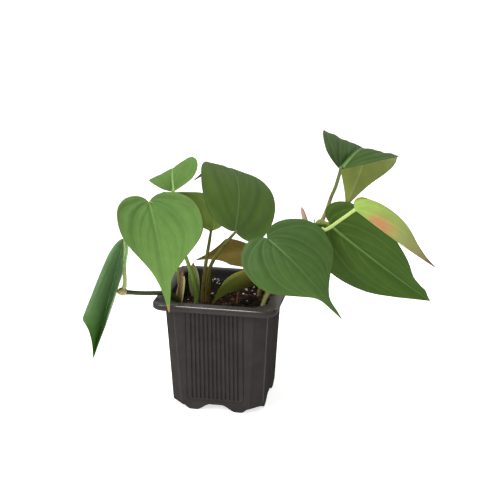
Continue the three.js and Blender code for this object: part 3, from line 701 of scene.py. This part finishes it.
# %% A recipe for stem skin, and the stems
def stem_material(name, foot, top, dark, joint=None, roughness=0.5):
    """Green or olive skin that changes from foot to top, with fine darker lines and corky joints."""
    material, tree, shader = new_material(name, Roughness=roughness, Specular_IOR_Level=0.15)
    along, swelling = (node(tree, "Attribute", attribute_name=key).outputs["Fac"]
                       for key in ("along", "joint"))
    place = node(tree, "TexCoord").outputs["Object"]
    # streaks about 1 mm wide and 6 mm long
    stretched = node(tree, "Mapping", {"Vector": place, "Scale": (900.0, 900.0, 160.0)}).outputs[0]
    lines = node(tree, "TexNoise", {"Vector": stretched, "Scale": 1.0, "Detail": 3.0}).outputs[0]
    colour = blend_colour(tree, spread(tree, along, 0.1, 0.9), foot, top)
    colour = blend_colour(tree, swelling, colour, joint or foot)
    colour = blend_colour(tree, spread(tree, lines, 0.5, 0.75), colour, dark)
    tree.links.new(colour, shader.inputs["Base Color"])
    bump = node(tree, "Bump", {"Height": lines, "Strength": 0.3, "Distance": 0.0002})
    tree.links.new(bump.outputs[0], shader.inputs["Normal"])
    return material


add_piece("runner_and_stalk", [
    tube([(-28, -27, 58), (-28.5, -28, 76), (-31.5, -31, 90), (-38.5, -31.5, 96.8), (-47, -31.5, 96.5),
          (-60, -31, 95.3), (-77.5, -31, 95)], [(0, 1.9), (0.9, 1.8), (1, 2.2)],
         age=(0, 0.25)),
    tube([(-77.5, -31, 95), (-75.5, -31, 101), (-75.5, -30, 114.5), (-75, -29, 125), (-75.2, -27, 131.5),
          (-76.8, -25, 137)], [(0, 2.2), (0.2, 1.6), (0.9, 1.4), (1, 0.8)], groove=0.2,
         age=(0.6, 1)),
    knob((-77.5, -31, 95.5), (4.3, 3.6, 3.4)),
], stem_material("green_runner_skin", "#1e280b", "#c0cc88", "#2c3816", "#b0a474"), "stem_left_runner")

add_piece("front_left_stalk", [
    tube([(-25, -9, 58), (-23.5, -7.5, 76), (-22, -6, 88), (-26, -7, 105), (-30, -9, 120), (-40, -14, 148),
          (-50, -20, 164.5), (-55, -25, 170.5)],
         [(0, 1.9), (0.35, 1.7), (0.9, 1.3), (1, 0.5)], groove=0.25),
], stem_material("fresh_green_stalk_skin", "#7c9c48", "#8cac54", "#5c7c38"), "petiole_front_left")

add_piece("small_leaf_stalk", [
    tube([(-33, -13, 58), (-33.5, -13, 78), (-34.5, -13, 95), (-36, -12, 108), (-38.5, -9, 122),
          (-41.5, -2, 142), (-44, 6, 160), (-44.5, 10, 170.5)],
         [(0, 1.4), (0.9, 1.15), (1, 1.3)], groove=0.2),
], stem_material("olive_stalk_skin", "#7c7a3c", "#8a9a48", "#5c5c2c"), "petiole_small_leaf")

add_piece("olive_fork", [
    tube([(-20.6, 8.5, 58), (-20, 8.5, 78), (-19.3, 8.5, 90), (-18.4, 9, 102), (-17.9, 10, 110),
          (-17, 17, 123), (-16.5, 25, 134.5)],
         [(0, 2.3), (0.4, 2.2), (0.6, 1.6), (0.9, 1.35), (1, 1.0)], groove=0.2),
    tube([(-16.6, 7.5, 58), (-16.3, 7.5, 78), (-15.6, 7.2, 90), (-14.8, 7, 102), (-13.4, 6.6, 108),
          (-10.2, 6.2, 115), (-4.4, 5.7, 123.5), (1.6, 5, 132), (9, 5, 141)],
         [(0, 2.2), (0.4, 2.1), (0.55, 1.6), (0.9, 1.35), (1, 1.0)], groove=0.2),
], stem_material("olive_brown_stem_skin", "#7c6a3c", "#6c6e32", "#4c401e"), "stem_olive_fork")

add_piece("right_vine", [
    tube([(32, -5, 58), (32.5, -4.5, 80), (37, -3, 95), (46, 0, 115), (58, 5, 135), (70, 6, 147),
          (77, 5, 151)], [(0, 2.3), (1, 2.2)]),
    tube([(77, 5, 151), (82, 3, 152), (86, -2, 151)], [(0, 1.6), (1, 1.5)]),
    tube([(77, 5, 151), (80.5, 8, 160), (85, 6, 174), (88.3, 2, 182.2), (91.3, -3.5, 192.4),
          (94, -10.3, 202)], [(0, 1.8), (0.2, 1.5), (0.9, 1.4), (1, 1.6)], groove=0.2),
    tube([(38, -2.5, 97), (38, -2, 106), (35, -1, 110), (30.5, 1, 109)], [(0, 1.4), (1, 1.2)]),
    tube([(72, 2, 149), (72.4, 1.5, 154), (73.4, 1, 159)], [(0, 0.55), (0.6, 0.4), (1, 0.12)], around=12),
    knob((77, 5, 151.5), (4.2, 3.6, 3.2)),
], stem_material("green_vine_skin", "#8a8250", "#5c6a30", "#4a4a26", "#7c8a44"), "stem_right_vine")

add_piece("bronze_leaf_stalk", [
    tube([(25, 20, 58), (24.5, 20.5, 78), (25, 23, 92), (23, 30, 105), (19, 35, 112)],
         [(0, 1.7), (0.9, 1.4), (1, 1.5)]),
], stem_material("beige_stalk_skin", "#9a9460", "#8a8a55", "#6c683c"), "petiole_bronze_leaf")

add_piece("centre_right_stalk", [
    tube([(33, -13, 58), (34, -12, 84), (39, -11, 97), (45, -9, 115), (43, -13, 133), (39, -24, 146.5)],
         [(0, 1.9), (0.9, 1.3), (1, 0.5)], groove=0.2),
], stem_material("pale_olive_stalk_skin", "#a4a070", "#66783c", "#7c7444"), "petiole_centre_right")

add_piece("young_leaf_stalk", [
    tube([(77, 5, 151), (80, -2, 148.5), (84, -8, 151), (95, -19, 162), (108, -28, 174.5)],
         [(0, 1.4), (0.5, 1.3), (0.9, 1.25), (1, 1.4)], groove=0.1),
], stem_material("pale_young_stalk_skin", "#b4c47c", "#acc070", "#98ac5c"), "petiole_young")

# %% [markdown]
# ## Sheaths, shoot and stick
#
# Each new leaf of this plant is wrapped in a sheath. When the leaf has opened, the sheath dries to a papery
# strip that stays at the stalk's foot. A sheath is a narrow blade with ribs that run along it.

# %% Make the sheaths, the new shoot and the stick
PLAIN = dict(bow_at=0.5, twist=0, lobe=0, lean=0, skew=0)      # what all the sheaths share
SHEATHS = {
    "sheath_brown": dict(
        PLAIN, base=(-35.8, -26.5, 70), tip=(-29.3, -22, 119.5), bow=0.08, roll=30, width=6,
        fold=(20, 20), curl=(40, 40), widest=0.3, drip=(0.8, 0.5)),
    "sheath_green": dict(
        PLAIN, base=(-36.5, -19.5, 70), tip=(-29.5, -17.5, 107.5), bow=0.04, roll=0, width=8,
        fold=(10, 10), curl=(40, 40), widest=0.45, drip=(0.9, 0.6)),
    "sheath_winged": dict(
        PLAIN, base=(-23.5, -3.5, 84), tip=(-25.5, -3.5, 115), bow=0.03, roll=0, width=10,
        fold=(10, 10), curl=(30, 30), widest=0.5, drip=(0.8, 0.5)),
}
RIBS = [([(0.02, share), (0.5, share), (0.98, share)], 0.7) for share in (0.0, 0.3, 0.6, 0.85)]
SHEATH_COLOURS = {  # foot, middle, tip
    "sheath_brown": ("#8c8850", "#94704c", "#54382a"),
    "sheath_green": ("#98a858", "#acb874", "#b8bc84"),
    "sheath_winged": ("#98ac64", "#a8b478", "#94543c"),
}


def sheath_material(name, foot, middle, tip):
    """Dry papery skin: pale between its ribs, dull, and changing from foot to tip."""
    material, tree, shader = new_material(name, Roughness=0.62, Specular_IOR_Level=0.3)
    along = node(tree, "Attribute", attribute_name="along").outputs["Fac"]
    rib = node(tree, "Attribute", attribute_name="side_vein").outputs["Fac"]
    colour = blend_colour(tree, spread(tree, along, 0.05, 0.35), foot, middle)
    colour = blend_colour(tree, spread(tree, along, 0.8, 0.97), colour, tip)
    faint_rib = node(tree, "Math", {0: rib, 1: 0.3}, operation="MULTIPLY").outputs[0]
    colour = blend_colour(tree, faint_rib, colour, tip)
    tree.links.new(colour, shader.inputs["Base Color"])
    return material


for name, sheath in SHEATHS.items():
    strip = blade_skin(sheath, rows=60, ribs=14, veins=RIBS, furrow=0.12, reach=0.5, thick=0.2)
    add_piece(f"{name}_strip", [strip], sheath_material(f"papery_{name}", *SHEATH_COLOURS[name]), name)

# a spear that is still rolled up: tender, pale at its foot and flushed red towards its tip
shoot_finish = stem_material("reddish_shoot_skin", "#d0ccb0", "#b48c7c", "#a8806c")
add_piece("new_shoot_spear", [
    tube([(66.5, 4, 147), (65.2, 3.2, 152), (63.6, 2, 158.5), (61.8, 1, 165)],
         [(0, 2.1), (0.35, 2.2), (0.7, 1.8), (0.9, 1.25), (0.97, 0.8), (1, 0.3)]),
], shoot_finish, "new_shoot")

# a sliver of bark: dry, fibrous and without a shine
stick_finish = stem_material("dry_bark_stick", "#5c4030", "#94705a", "#4a3426", roughness=0.85)
add_piece("bark_stick", [
    tube([(7, 4, 60), (8, 5.3, 70), (9, 6.6, 79), (10, 8, 88)], [(0, 0.9), (0.6, 1.0), (1, 0.65)],
         around=14, streak=0.1),
], stick_finish, "stick")

# %% [markdown]
# ## The pot
#
# The pot is moulded from black recycled plastic. Its wall has chamfered corners, and each face carries a
# raised panel with upright grooves. The wall's lower edge dips to two soft feet on each face. The rim is
# rolled outwards with a short skirt. All of it is one skin: a square ring that changes its size and its
# corners on the way up the outside, over the rim and down the inside.

# %% The pot's sizes
POT = dict(height=93.5, rim_half=50.0, rim_round=11.0, skirt=5.0, flange=1.6, top_half=42.0, foot_half=37.2,
           chamfer=9.8, wall=1.8, step_depth=7.5, step_width=0.9, floor_low=5.4, floor_high=7.2)
FOOT = dict(start=16.3, end=20.7, arch_end=4.7, corner_rise=3.6, depth=3.0)
GROOVES, GROOVE_PITCH, GROOVE_WIDTH, GROOVE_DEPTH, GROOVE_LOW = 12, 3.42, 1.3, 0.95, 10.5
PANEL = dict(half=22.6, low=9.4, high=95.0, corner=2.5, raised=0.4)      # it runs up behind the rim
FRAME = dict(outside=0.65, depth=0.5, width=0.32)          # the fine line round the panel
BEAD = dict(share=0.95, width=0.04, raised=0.4)            # its place across the chamfer, as a share
LEAN = (POT["top_half"] - POT["foot_half"]) / (POT["height"] - POT["skirt"])


def wall_half(z):
    """Half width of the wall's outside at height z."""
    return POT["foot_half"] + LEAN * z


def inner_half(z):
    """Half width of the wall's inside, from the floor to the step under the rim."""
    low, high = POT["floor_high"], POT["height"] - POT["step_depth"]
    return np.interp(z, (low, high), (wall_half(low) - POT["wall"],
                                      wall_half(POT["height"]) - POT["wall"] - POT["step_width"]))


def ease_between(value, low, high):
    """0 below low, 1 above high, and 3 t^2 - 2 t^3 between."""
    t = np.clip((value - low) / (high - low), 0, 1)
    return t * t * (3 - 2 * t)


# %% Draw one square ring, and how its points move as it grows
groove_x = (np.arange(GROOVES) - (GROOVES - 1) / 2) * GROOVE_PITCH
groove_cut = np.array([-0.62, -0.5, -0.4, -0.25, 0, 0.25, 0.4, 0.5, 0.62]) * GROOVE_WIDTH
panel_edge = np.concatenate([np.arange(-3.0, -0.6, 0.4), np.arange(-0.5, 1.5, 0.2)]) + PANEL["half"]
# places along half a face: close together at each groove's flanks and at the panel's edge
half_face = np.concatenate([(groove_x[GROOVES // 2:, None] + groove_cut).ravel(), panel_edge])
corner_share = np.linspace(0, 1, 19)[1:-1]


def square_ring(half, corner, rounding=0.0):
    """Points round a square. rounding 0 cuts the corners straight, 1 makes them quarter circles."""
    inward = half - corner
    margin = np.linspace(half_face[-1], inward, 6)[1:]
    out = np.concatenate([half_face, margin])
    face = np.concatenate([-out[::-1], out])
    side = np.stack([np.full_like(face, half), face], -1)
    turn = corner_share * math.pi / 2
    straight = inward + corner * np.stack([1 - corner_share, corner_share], -1)
    quarter = inward + corner * np.stack([np.cos(turn), np.sin(turn)], -1)
    part = np.concatenate([side, straight * (1 - rounding) + quarter * rounding])
    turns = [part @ np.array([[math.cos(a), math.sin(a)], [-math.sin(a), math.cos(a)]])
             for a in np.arange(4) * math.pi / 2]
    return np.concatenate(turns)


wall_foot = square_ring(POT["foot_half"], POT["chamfer"])
wall_growth = square_ring(POT["foot_half"] + 1, POT["chamfer"]) - wall_foot
print(len(wall_foot), "points round the pot")

# %% The relief of the wall, and its lower edge
face_points = len(wall_foot) // 4 - len(corner_share)
across = np.tile(np.concatenate([wall_foot[:face_points, 1], np.full(len(corner_share), np.nan)]), 4)
on_face = ~np.isnan(across)
off_middle = np.abs(np.where(on_face, across, POT["foot_half"]))
share_of_corner = np.tile(np.concatenate([np.zeros(face_points), corner_share]), 4)


def bead(z):
    """A thin upright bead near one edge of each chamfer: exp(-(distance / width)^2), above the foot."""
    return np.exp(-((share_of_corner - BEAD["share"]) / BEAD["width"])**2) * ease_between(z, 6, 9)


def relief(z):
    """How far the wall stands out at height z: panel, less its frame line and its grooves, plus the bead.

    The panel is a rounded rectangle: its edge is where the distance from it is 0.
    """
    wide = off_middle - PANEL["half"] + PANEL["corner"]
    tall = np.maximum(PANEL["low"] - z, z - PANEL["high"]) + PANEL["corner"]
    outside = (np.hypot(np.maximum(wide, 0), np.maximum(tall, 0)) + np.minimum(np.maximum(wide, tall), 0)
               - PANEL["corner"])
    panel = PANEL["raised"] * (1 - ease_between(outside, -0.15, 0.3)) * on_face
    line = np.abs(np.where(on_face, across, np.inf)[:, None] - groove_x).min(1) / GROOVE_WIDTH
    groove = (GROOVE_DEPTH * (1 - ease_between(line, 0.38, 0.56))
              * ease_between(z, GROOVE_LOW, GROOVE_LOW + 1))
    frame = FRAME["depth"] * np.exp(-((outside - FRAME["outside"]) / FRAME["width"])**2) * on_face
    return panel - frame - groove + BEAD["raised"] * bead(z)


def lower_edge():
    """Height of the wall's lower edge: flat arch, S-curve to the foot, flat sole, S-curve to the corner."""
    corner = POT["foot_half"] - POT["chamfer"]
    inner = POT["floor_low"] * (1 - ease_between(off_middle, FOOT["arch_end"], FOOT["start"]))
    return inner + FOOT["corner_rise"] * ease_between(off_middle, FOOT["end"], corner)


# %% Stack the rings up the outside, over the rim and down the inside
def fillet(centre_half, centre_z, radius, from_angle, to_angle, count=7):
    """Quarter round of the profile: (half width, height) round a centre, by angles in degrees."""
    angle = np.radians(np.linspace(from_angle, to_angle, count))
    return zip(centre_half + radius * np.cos(angle), centre_z + radius * np.sin(angle))


def wall_at(z, inset=0.0):
    """The wall's outside at height z, one number or one for each ring point, moved in by inset."""
    z = np.broadcast_to(np.asarray(z, float), off_middle.shape)
    place = wall_foot + wall_growth * (LEAN * z - inset + relief(z) * (inset == 0))[:, None]
    return np.column_stack([place, z])


def level_ring(half, corner, rounding, z):
    """A square ring whose points all lie at height z."""
    return np.column_stack([square_ring(half, corner, rounding), np.full(len(wall_foot), z)])


ROLL_STEPS = 9     # points on the rim's roll, and on the skirt's lower edge
rim, height, edge = POT["rim_half"], POT["height"], lower_edge()
inner = wall_half(height) - POT["wall"]
rings = [wall_at(POT["floor_low"] + 0.4, FOOT["depth"]), wall_at(edge, FOOT["depth"]), wall_at(edge, 0.4)]
rings += [wall_at(edge + 0.4 + (8.2 - edge) * share) for share in (0, 0.1, 0.25, 0.45, 0.7, 1)]
# rings lie close together where the panel and its grooves begin, and far apart on the plain part above
rings += [wall_at(z) for z in (*np.arange(8.9, 13.2, 0.3), 20, 35, 50, 65, 80, 88.5, 91.9)]
over = [(rim - 1.9, 91.9), (rim - 1.6, 91.6), (rim - 1.6, 89.0),
        *fillet(rim - 0.8, 89.3, 0.8, -180, 0, ROLL_STEPS),
        (rim, 90.5), *fillet(rim - 1.6, height - 1.6, 1.6, 0, 90, ROLL_STEPS)]
rings += [level_ring(half, POT["rim_round"] - (rim - half), 1, z) for half, z in over]
wall_rings = len(rings) - len(over)
# the rim's inner round, the step under it, and the wall down to the floor
inside = [*fillet(inner + 1.2, height - 1.2, 1.2, 90, 180), (inner, 90), (inner, 86.3), (inner - 0.2, 86.0),
          (inner - 0.7, 86.0), (inner - 0.9, 85.8), (inner_half(60), 60), (inner_half(7.8), 7.8),
          (inner_half(7.2) - 0.6, 7.2)]
rings += [level_ring(half, POT["chamfer"], 0, z) for half, z in inside]
rings = np.array(rings)
BEAD_GLOSS_AND_SHADE, GLOSS_AND_SHADE_ELSEWHERE = 0.4, 0.15     # shares of gloss, and of painted shade, on the beads and elsewhere; the rim's roll gets it all
worn = np.full(rings.shape[:2], GLOSS_AND_SHADE_ELSEWHERE)
worn[:wall_rings] = BEAD_GLOSS_AND_SHADE * bead(rings[:wall_rings, :, 2])
rolled = wall_rings + len(over)
worn[rolled - ROLL_STEPS:rolled] = ease_between(np.arange(ROLL_STEPS), 1, 4)[:, None]
body = skin(rings, (0, 0, POT["floor_low"] + 0.4), (0, 0, POT["floor_high"]), worn=worn)


# %% [markdown]
# ## Moulded polypropylene
#
# Recycled black polypropylene comes out of its mould dark and warm grey. The thin wall is matt, and the
# rolled rim is smooth, so only the rim and the beads catch soft highlights. Their colour is painted darker
# too, as painted shade that sets the highlights off. The plastic is faintly uneven, and its fine grain breaks
# up the highlights.

# %% A recipe for the plastic, and the pot
def plastic_material():
    """Recycled black polypropylene: an even dark brown grey, matt on the wall, satin on the rim's roll and
    the beads, where painted shade also darkens the colour.
    """
    material, tree, shader = new_material("moulded_black_polypropylene", IOR=1.49)
    place = node(tree, "TexCoord").outputs["Object"]
    # flow clouds about 17 mm across, and a mould grain drawn at 0.5 mm, coarser than a real one, to show
    cloud = node(tree, "TexNoise",
                 {"Vector": place, "Scale": 60.0, "Detail": 4.0, "Roughness": 0.6}).outputs[0]
    grain = node(tree, "TexNoise", {"Vector": place, "Scale": 2200.0, "Detail": 2.0}).outputs[0]
    worn = node(tree, "Attribute", attribute_name="worn").outputs["Fac"]
    colour = blend_colour(tree, spread(tree, cloud, 0.3, 0.7), "#33302f", "#393635")
    # painted shade: the rim's roll and the beads are darkened by up to a fifth, to set off their highlights
    colour = scaled(tree, colour, remapped(tree, worn, 0.0, 1.0, 1.0, 0.8))
    tree.links.new(colour, shader.inputs["Base Color"])
    tree.links.new(remapped(tree, worn, 0.0, 1.0, 0.75, 0.16), shader.inputs["Roughness"])
    tree.links.new(remapped(tree, worn, 0.0, 1.0, 0.0, 0.8), shader.inputs["Specular IOR Level"])
    bump = node(tree, "Bump", {"Height": grain, "Strength": 0.15, "Distance": 0.0002})
    tree.links.new(bump.outputs[0], shader.inputs["Normal"])
    return material


nursery_pot = add_piece("nursery_pot", [body], plastic_material(), "pot", sharp=38)

# %% Drill the drain holes
DRAIN_RADIUS, DRAIN_OFFSET = 3.5, 19.0
DRILL_LOW, DRILL_HIGH = 4.0, 8.4       # mm: the floor lies between them


def drill(x, y, sides=24):
    """An upright cylinder through the pot's floor."""
    angle = np.linspace(0, 2 * math.pi, sides, endpoint=False)
    circle = np.stack([x + DRAIN_RADIUS * np.cos(angle), y + DRAIN_RADIUS * np.sin(angle)], -1)
    rings = np.array([np.column_stack([circle, np.full(sides, z)]) for z in (DRILL_LOW, DRILL_HIGH)])
    return skin(rings, (x, y, DRILL_LOW), (x, y, DRILL_HIGH))


spots = [(0, 0)] + [(x, y) for x in (-DRAIN_OFFSET, DRAIN_OFFSET) for y in (-DRAIN_OFFSET, DRAIN_OFFSET)]
drills = put("drills", mesh_of("drills", [drill(*spot) for spot in spots]))
cut = nursery_pot.modifiers.new("drain_holes", "BOOLEAN")
cut.object, cut.operation, cut.solver = drills, "DIFFERENCE", "MANIFOLD"
drilled = nursery_pot.evaluated_get(bpy.context.evaluated_depsgraph_get())
holed_mesh = bpy.data.meshes.new_from_object(drilled)
nursery_pot.modifiers.remove(cut)
nursery_pot.data = holed_mesh
bpy.data.objects.remove(drills)
print("The drilled pot has", len(holed_mesh.polygons), "faces and keeps", *holed_mesh.attributes.keys())

# %% [markdown]
# ## Soil
#
# The plant grows in a loose mix of bark, peat and perlite. The soil's surface is a height map: a sum of sine
# waves for its lumps, with finer waves on top. Loose chips of bark lie on it, and white perlite grains.

# %% The soil's surface
SOIL_LEVEL, RISE_RIGHT, RISE_BACK = 77.2, 0.07, 0.08
SOIL_FOOT, WALL_GAP = 7.5, 0.4       # mm: the soil's underside, and its distance from the pot's wall
CRUMB_LENGTHS, CRUMB_SLOPE = (6.0, 4.6, 3.5, 2.7, 2.1), 0.09       # mm, and the height as a share of them


def soil_height(x, y):
    """Level, plus a slope to the right and the back, plus two sets of crossed sine waves."""
    return (SOIL_LEVEL + RISE_RIGHT * x + RISE_BACK * y
            + 1.1 * np.sin(0.41 * x + 1.3) * np.cos(0.37 * y - 0.4)
            + 0.6 * np.sin(1.07 * x - 0.83 * y) * np.cos(0.91 * y + 0.59 * x))


def crumbs(x, y):
    """Fine lumps: sine waves in seeded directions, each as high as CRUMB_SLOPE times its length."""
    waves = np.random.default_rng(11)
    total = 0
    for length in CRUMB_LENGTHS:
        way, shift = waves.uniform(0, 2 * math.pi, 2)
        phase = (x * math.cos(way) + y * math.sin(way)) * 2 * math.pi / length + shift
        total = total + length * np.sin(phase)
    return CRUMB_SLOPE * total


def soil_skin(rounds=60):
    """Rings that shrink from the pot's wall to its middle, above a plain block that fills the pot."""
    outer = level_ring(inner_half(SOIL_LEVEL - 6) - WALL_GAP, POT["chamfer"], 0, 0)[::3]
    low = level_ring(inner_half(POT["floor_high"]) - WALL_GAP, POT["chamfer"], 0, SOIL_FOOT)[::3]
    share = np.linspace(1, 0, rounds, endpoint=False)[:, None, None]
    top = outer[None] * share
    top[..., 2] = soil_height(top[..., 0], top[..., 1]) + crumbs(top[..., 0], top[..., 1]) - 0.3
    rings = np.concatenate([low[None], top])
    return skin(rings, (0, 0, SOIL_FOOT), (0, 0, soil_height(0, 0)))


def soil_material():
    """Moist bark and peat: dark brown, crumbly, with paler fibres."""
    material, tree, shader = new_material("moist_bark_and_peat", Roughness=0.9, Specular_IOR_Level=0.25)
    place = node(tree, "TexCoord").outputs["Object"]
    crumb = node(tree, "TexNoise",             # crumbs from 2.4 mm down
                 {"Vector": place, "Scale": 420.0, "Detail": 5.0, "Roughness": 0.7}).outputs[0]
    colour = blend_colour(tree, spread(tree, crumb, 0.35, 0.7), "#120c09", "#3e2a1b")
    tree.links.new(colour, shader.inputs["Base Color"])
    bump = node(tree, "Bump", {"Height": crumb, "Strength": 0.8, "Distance": 0.001})
    tree.links.new(bump.outputs[0], shader.inputs["Normal"])
    return material


add_piece("potting_soil", [soil_skin()], soil_material(), "soil", sharp=60)

# %% Scatter bark chips and perlite
def pebbles(centres, sizes, turns, rough, around=6, rows=3):
    """Small irregular lumps as skins: each ring point of an ellipsoid moves in or out by a random share."""
    ball, _, _ = sphere(around, rows)
    made = []
    for centre, size, (yaw, tilt) in zip(centres, sizes, turns):
        lump = ball * rng.uniform(1 - rough, 1 + rough, ball.shape[:2])[..., None] * size
        c, s, d, t = math.cos(yaw), math.sin(yaw), math.cos(tilt), math.sin(tilt)
        spin = np.array([[c, s, 0], [-s, c, 0], [0, 0, 1]]) @ np.array([[1, 0, 0], [0, d, t], [0, -t, d]])
        top, low = (np.array([[0, 0, z * size[2]]]) for z in (1, -1))
        made.append(skin(lump @ spin + centre, (top @ spin)[0] + centre, (low @ spin)[0] + centre))
    return made


CHIPS, LOOSE, STUCK = 420, 16, 26      # chips; loose grains; grains that dried on to the back wall
SCATTER, CORNER_LIMIT = 35.0, 62.0     # mm: half of the square they lie in, and |x| + |y| at its cut corners
chip_xy = rng.uniform(-SCATTER, SCATTER, (CHIPS, 2))
chip_xy = chip_xy[np.abs(chip_xy).sum(1) < CORNER_LIMIT]
chip_z = soil_height(*chip_xy.T) + crumbs(*chip_xy.T) + 0.1
# half of each chip's length, width and thickness, in mm
chip_size = np.stack([rng.uniform(1.2, 3.6, len(chip_xy)), rng.uniform(0.5, 1.2, len(chip_xy)),
                      rng.uniform(0.3, 0.7, len(chip_xy))], -1)
chip_turn = np.stack([rng.uniform(0, 2 * math.pi, len(chip_xy)), rng.normal(0, 0.5, len(chip_xy))], -1)


def chip_material():
    """Pine bark: reddish brown outside, paler where it broke."""
    material, tree, shader = new_material("broken_pine_bark", Roughness=0.85, Specular_IOR_Level=0.3)
    place = node(tree, "TexCoord").outputs["Object"]
    piece = node(tree, "TexNoise", {"Vector": place, "Scale": 260.0, "Detail": 1.0}).outputs[0]
    colour = blend_colour(tree, spread(tree, piece, 0.48, 0.72), "#1c120d", "#74492f")
    tree.links.new(colour, shader.inputs["Base Color"])
    return material


add_piece("bark_chips", pebbles(np.column_stack([chip_xy, chip_z]), chip_size, chip_turn, 0.25),
          chip_material(), slot="soil", sharp=30)

STUCK_TOP, STUCK_DROP = 86.3, 2.0      # mm: height of the step under the rim, and spread below it
STUCK_LEFT, STUCK_RIGHT = -22, 2       # mm along the back wall
PERLITE = [(10.7, 35.0, 1.9), (13.4, 34.6, 1.7), (11.8, 33.2, 1.3), (6.5, 34.9, 1.2), (20.4, 23.2, 1.2),
           (17.8, 35.2, 0.9)]   # the grains that show between the leaves: x, y and radius
grain_xy = np.concatenate([[g[:2] for g in PERLITE], rng.uniform(-SCATTER, SCATTER, (LOOSE, 2))])
grain_xy = grain_xy[np.abs(grain_xy).sum(1) < CORNER_LIMIT]
grain_size = np.concatenate([[g[2] for g in PERLITE], rng.uniform(0.4, 1.0, LOOSE)])[:len(grain_xy)]
grain_z = soil_height(*grain_xy.T) + crumbs(*grain_xy.T) + 0.5 * grain_size
stuck_z = STUCK_TOP - np.abs(rng.normal(0, STUCK_DROP, STUCK))
stuck_x = rng.uniform(STUCK_LEFT, STUCK_RIGHT, STUCK)
stuck = np.column_stack([stuck_x, inner_half(stuck_z) - 0.2, stuck_z])
grains = np.concatenate([np.column_stack([grain_xy, grain_z]), stuck])
grain_size = np.concatenate([grain_size, rng.uniform(0.3, 0.8, STUCK)])
# volcanic glass puffed up by heat: white, chalky and without a shine
perlite_finish, _, _ = new_material("expanded_perlite", Base_Color=linear("#e8e4dc"), Roughness=0.9)
add_piece("perlite_grains", pebbles(grains, grain_size[:, None] * (1, 0.85, 0.75),
                                    rng.uniform(0, 6, (len(grains), 2)), 0.18, around=8, rows=5),
          perlite_finish, slot="soil", sharp=40)
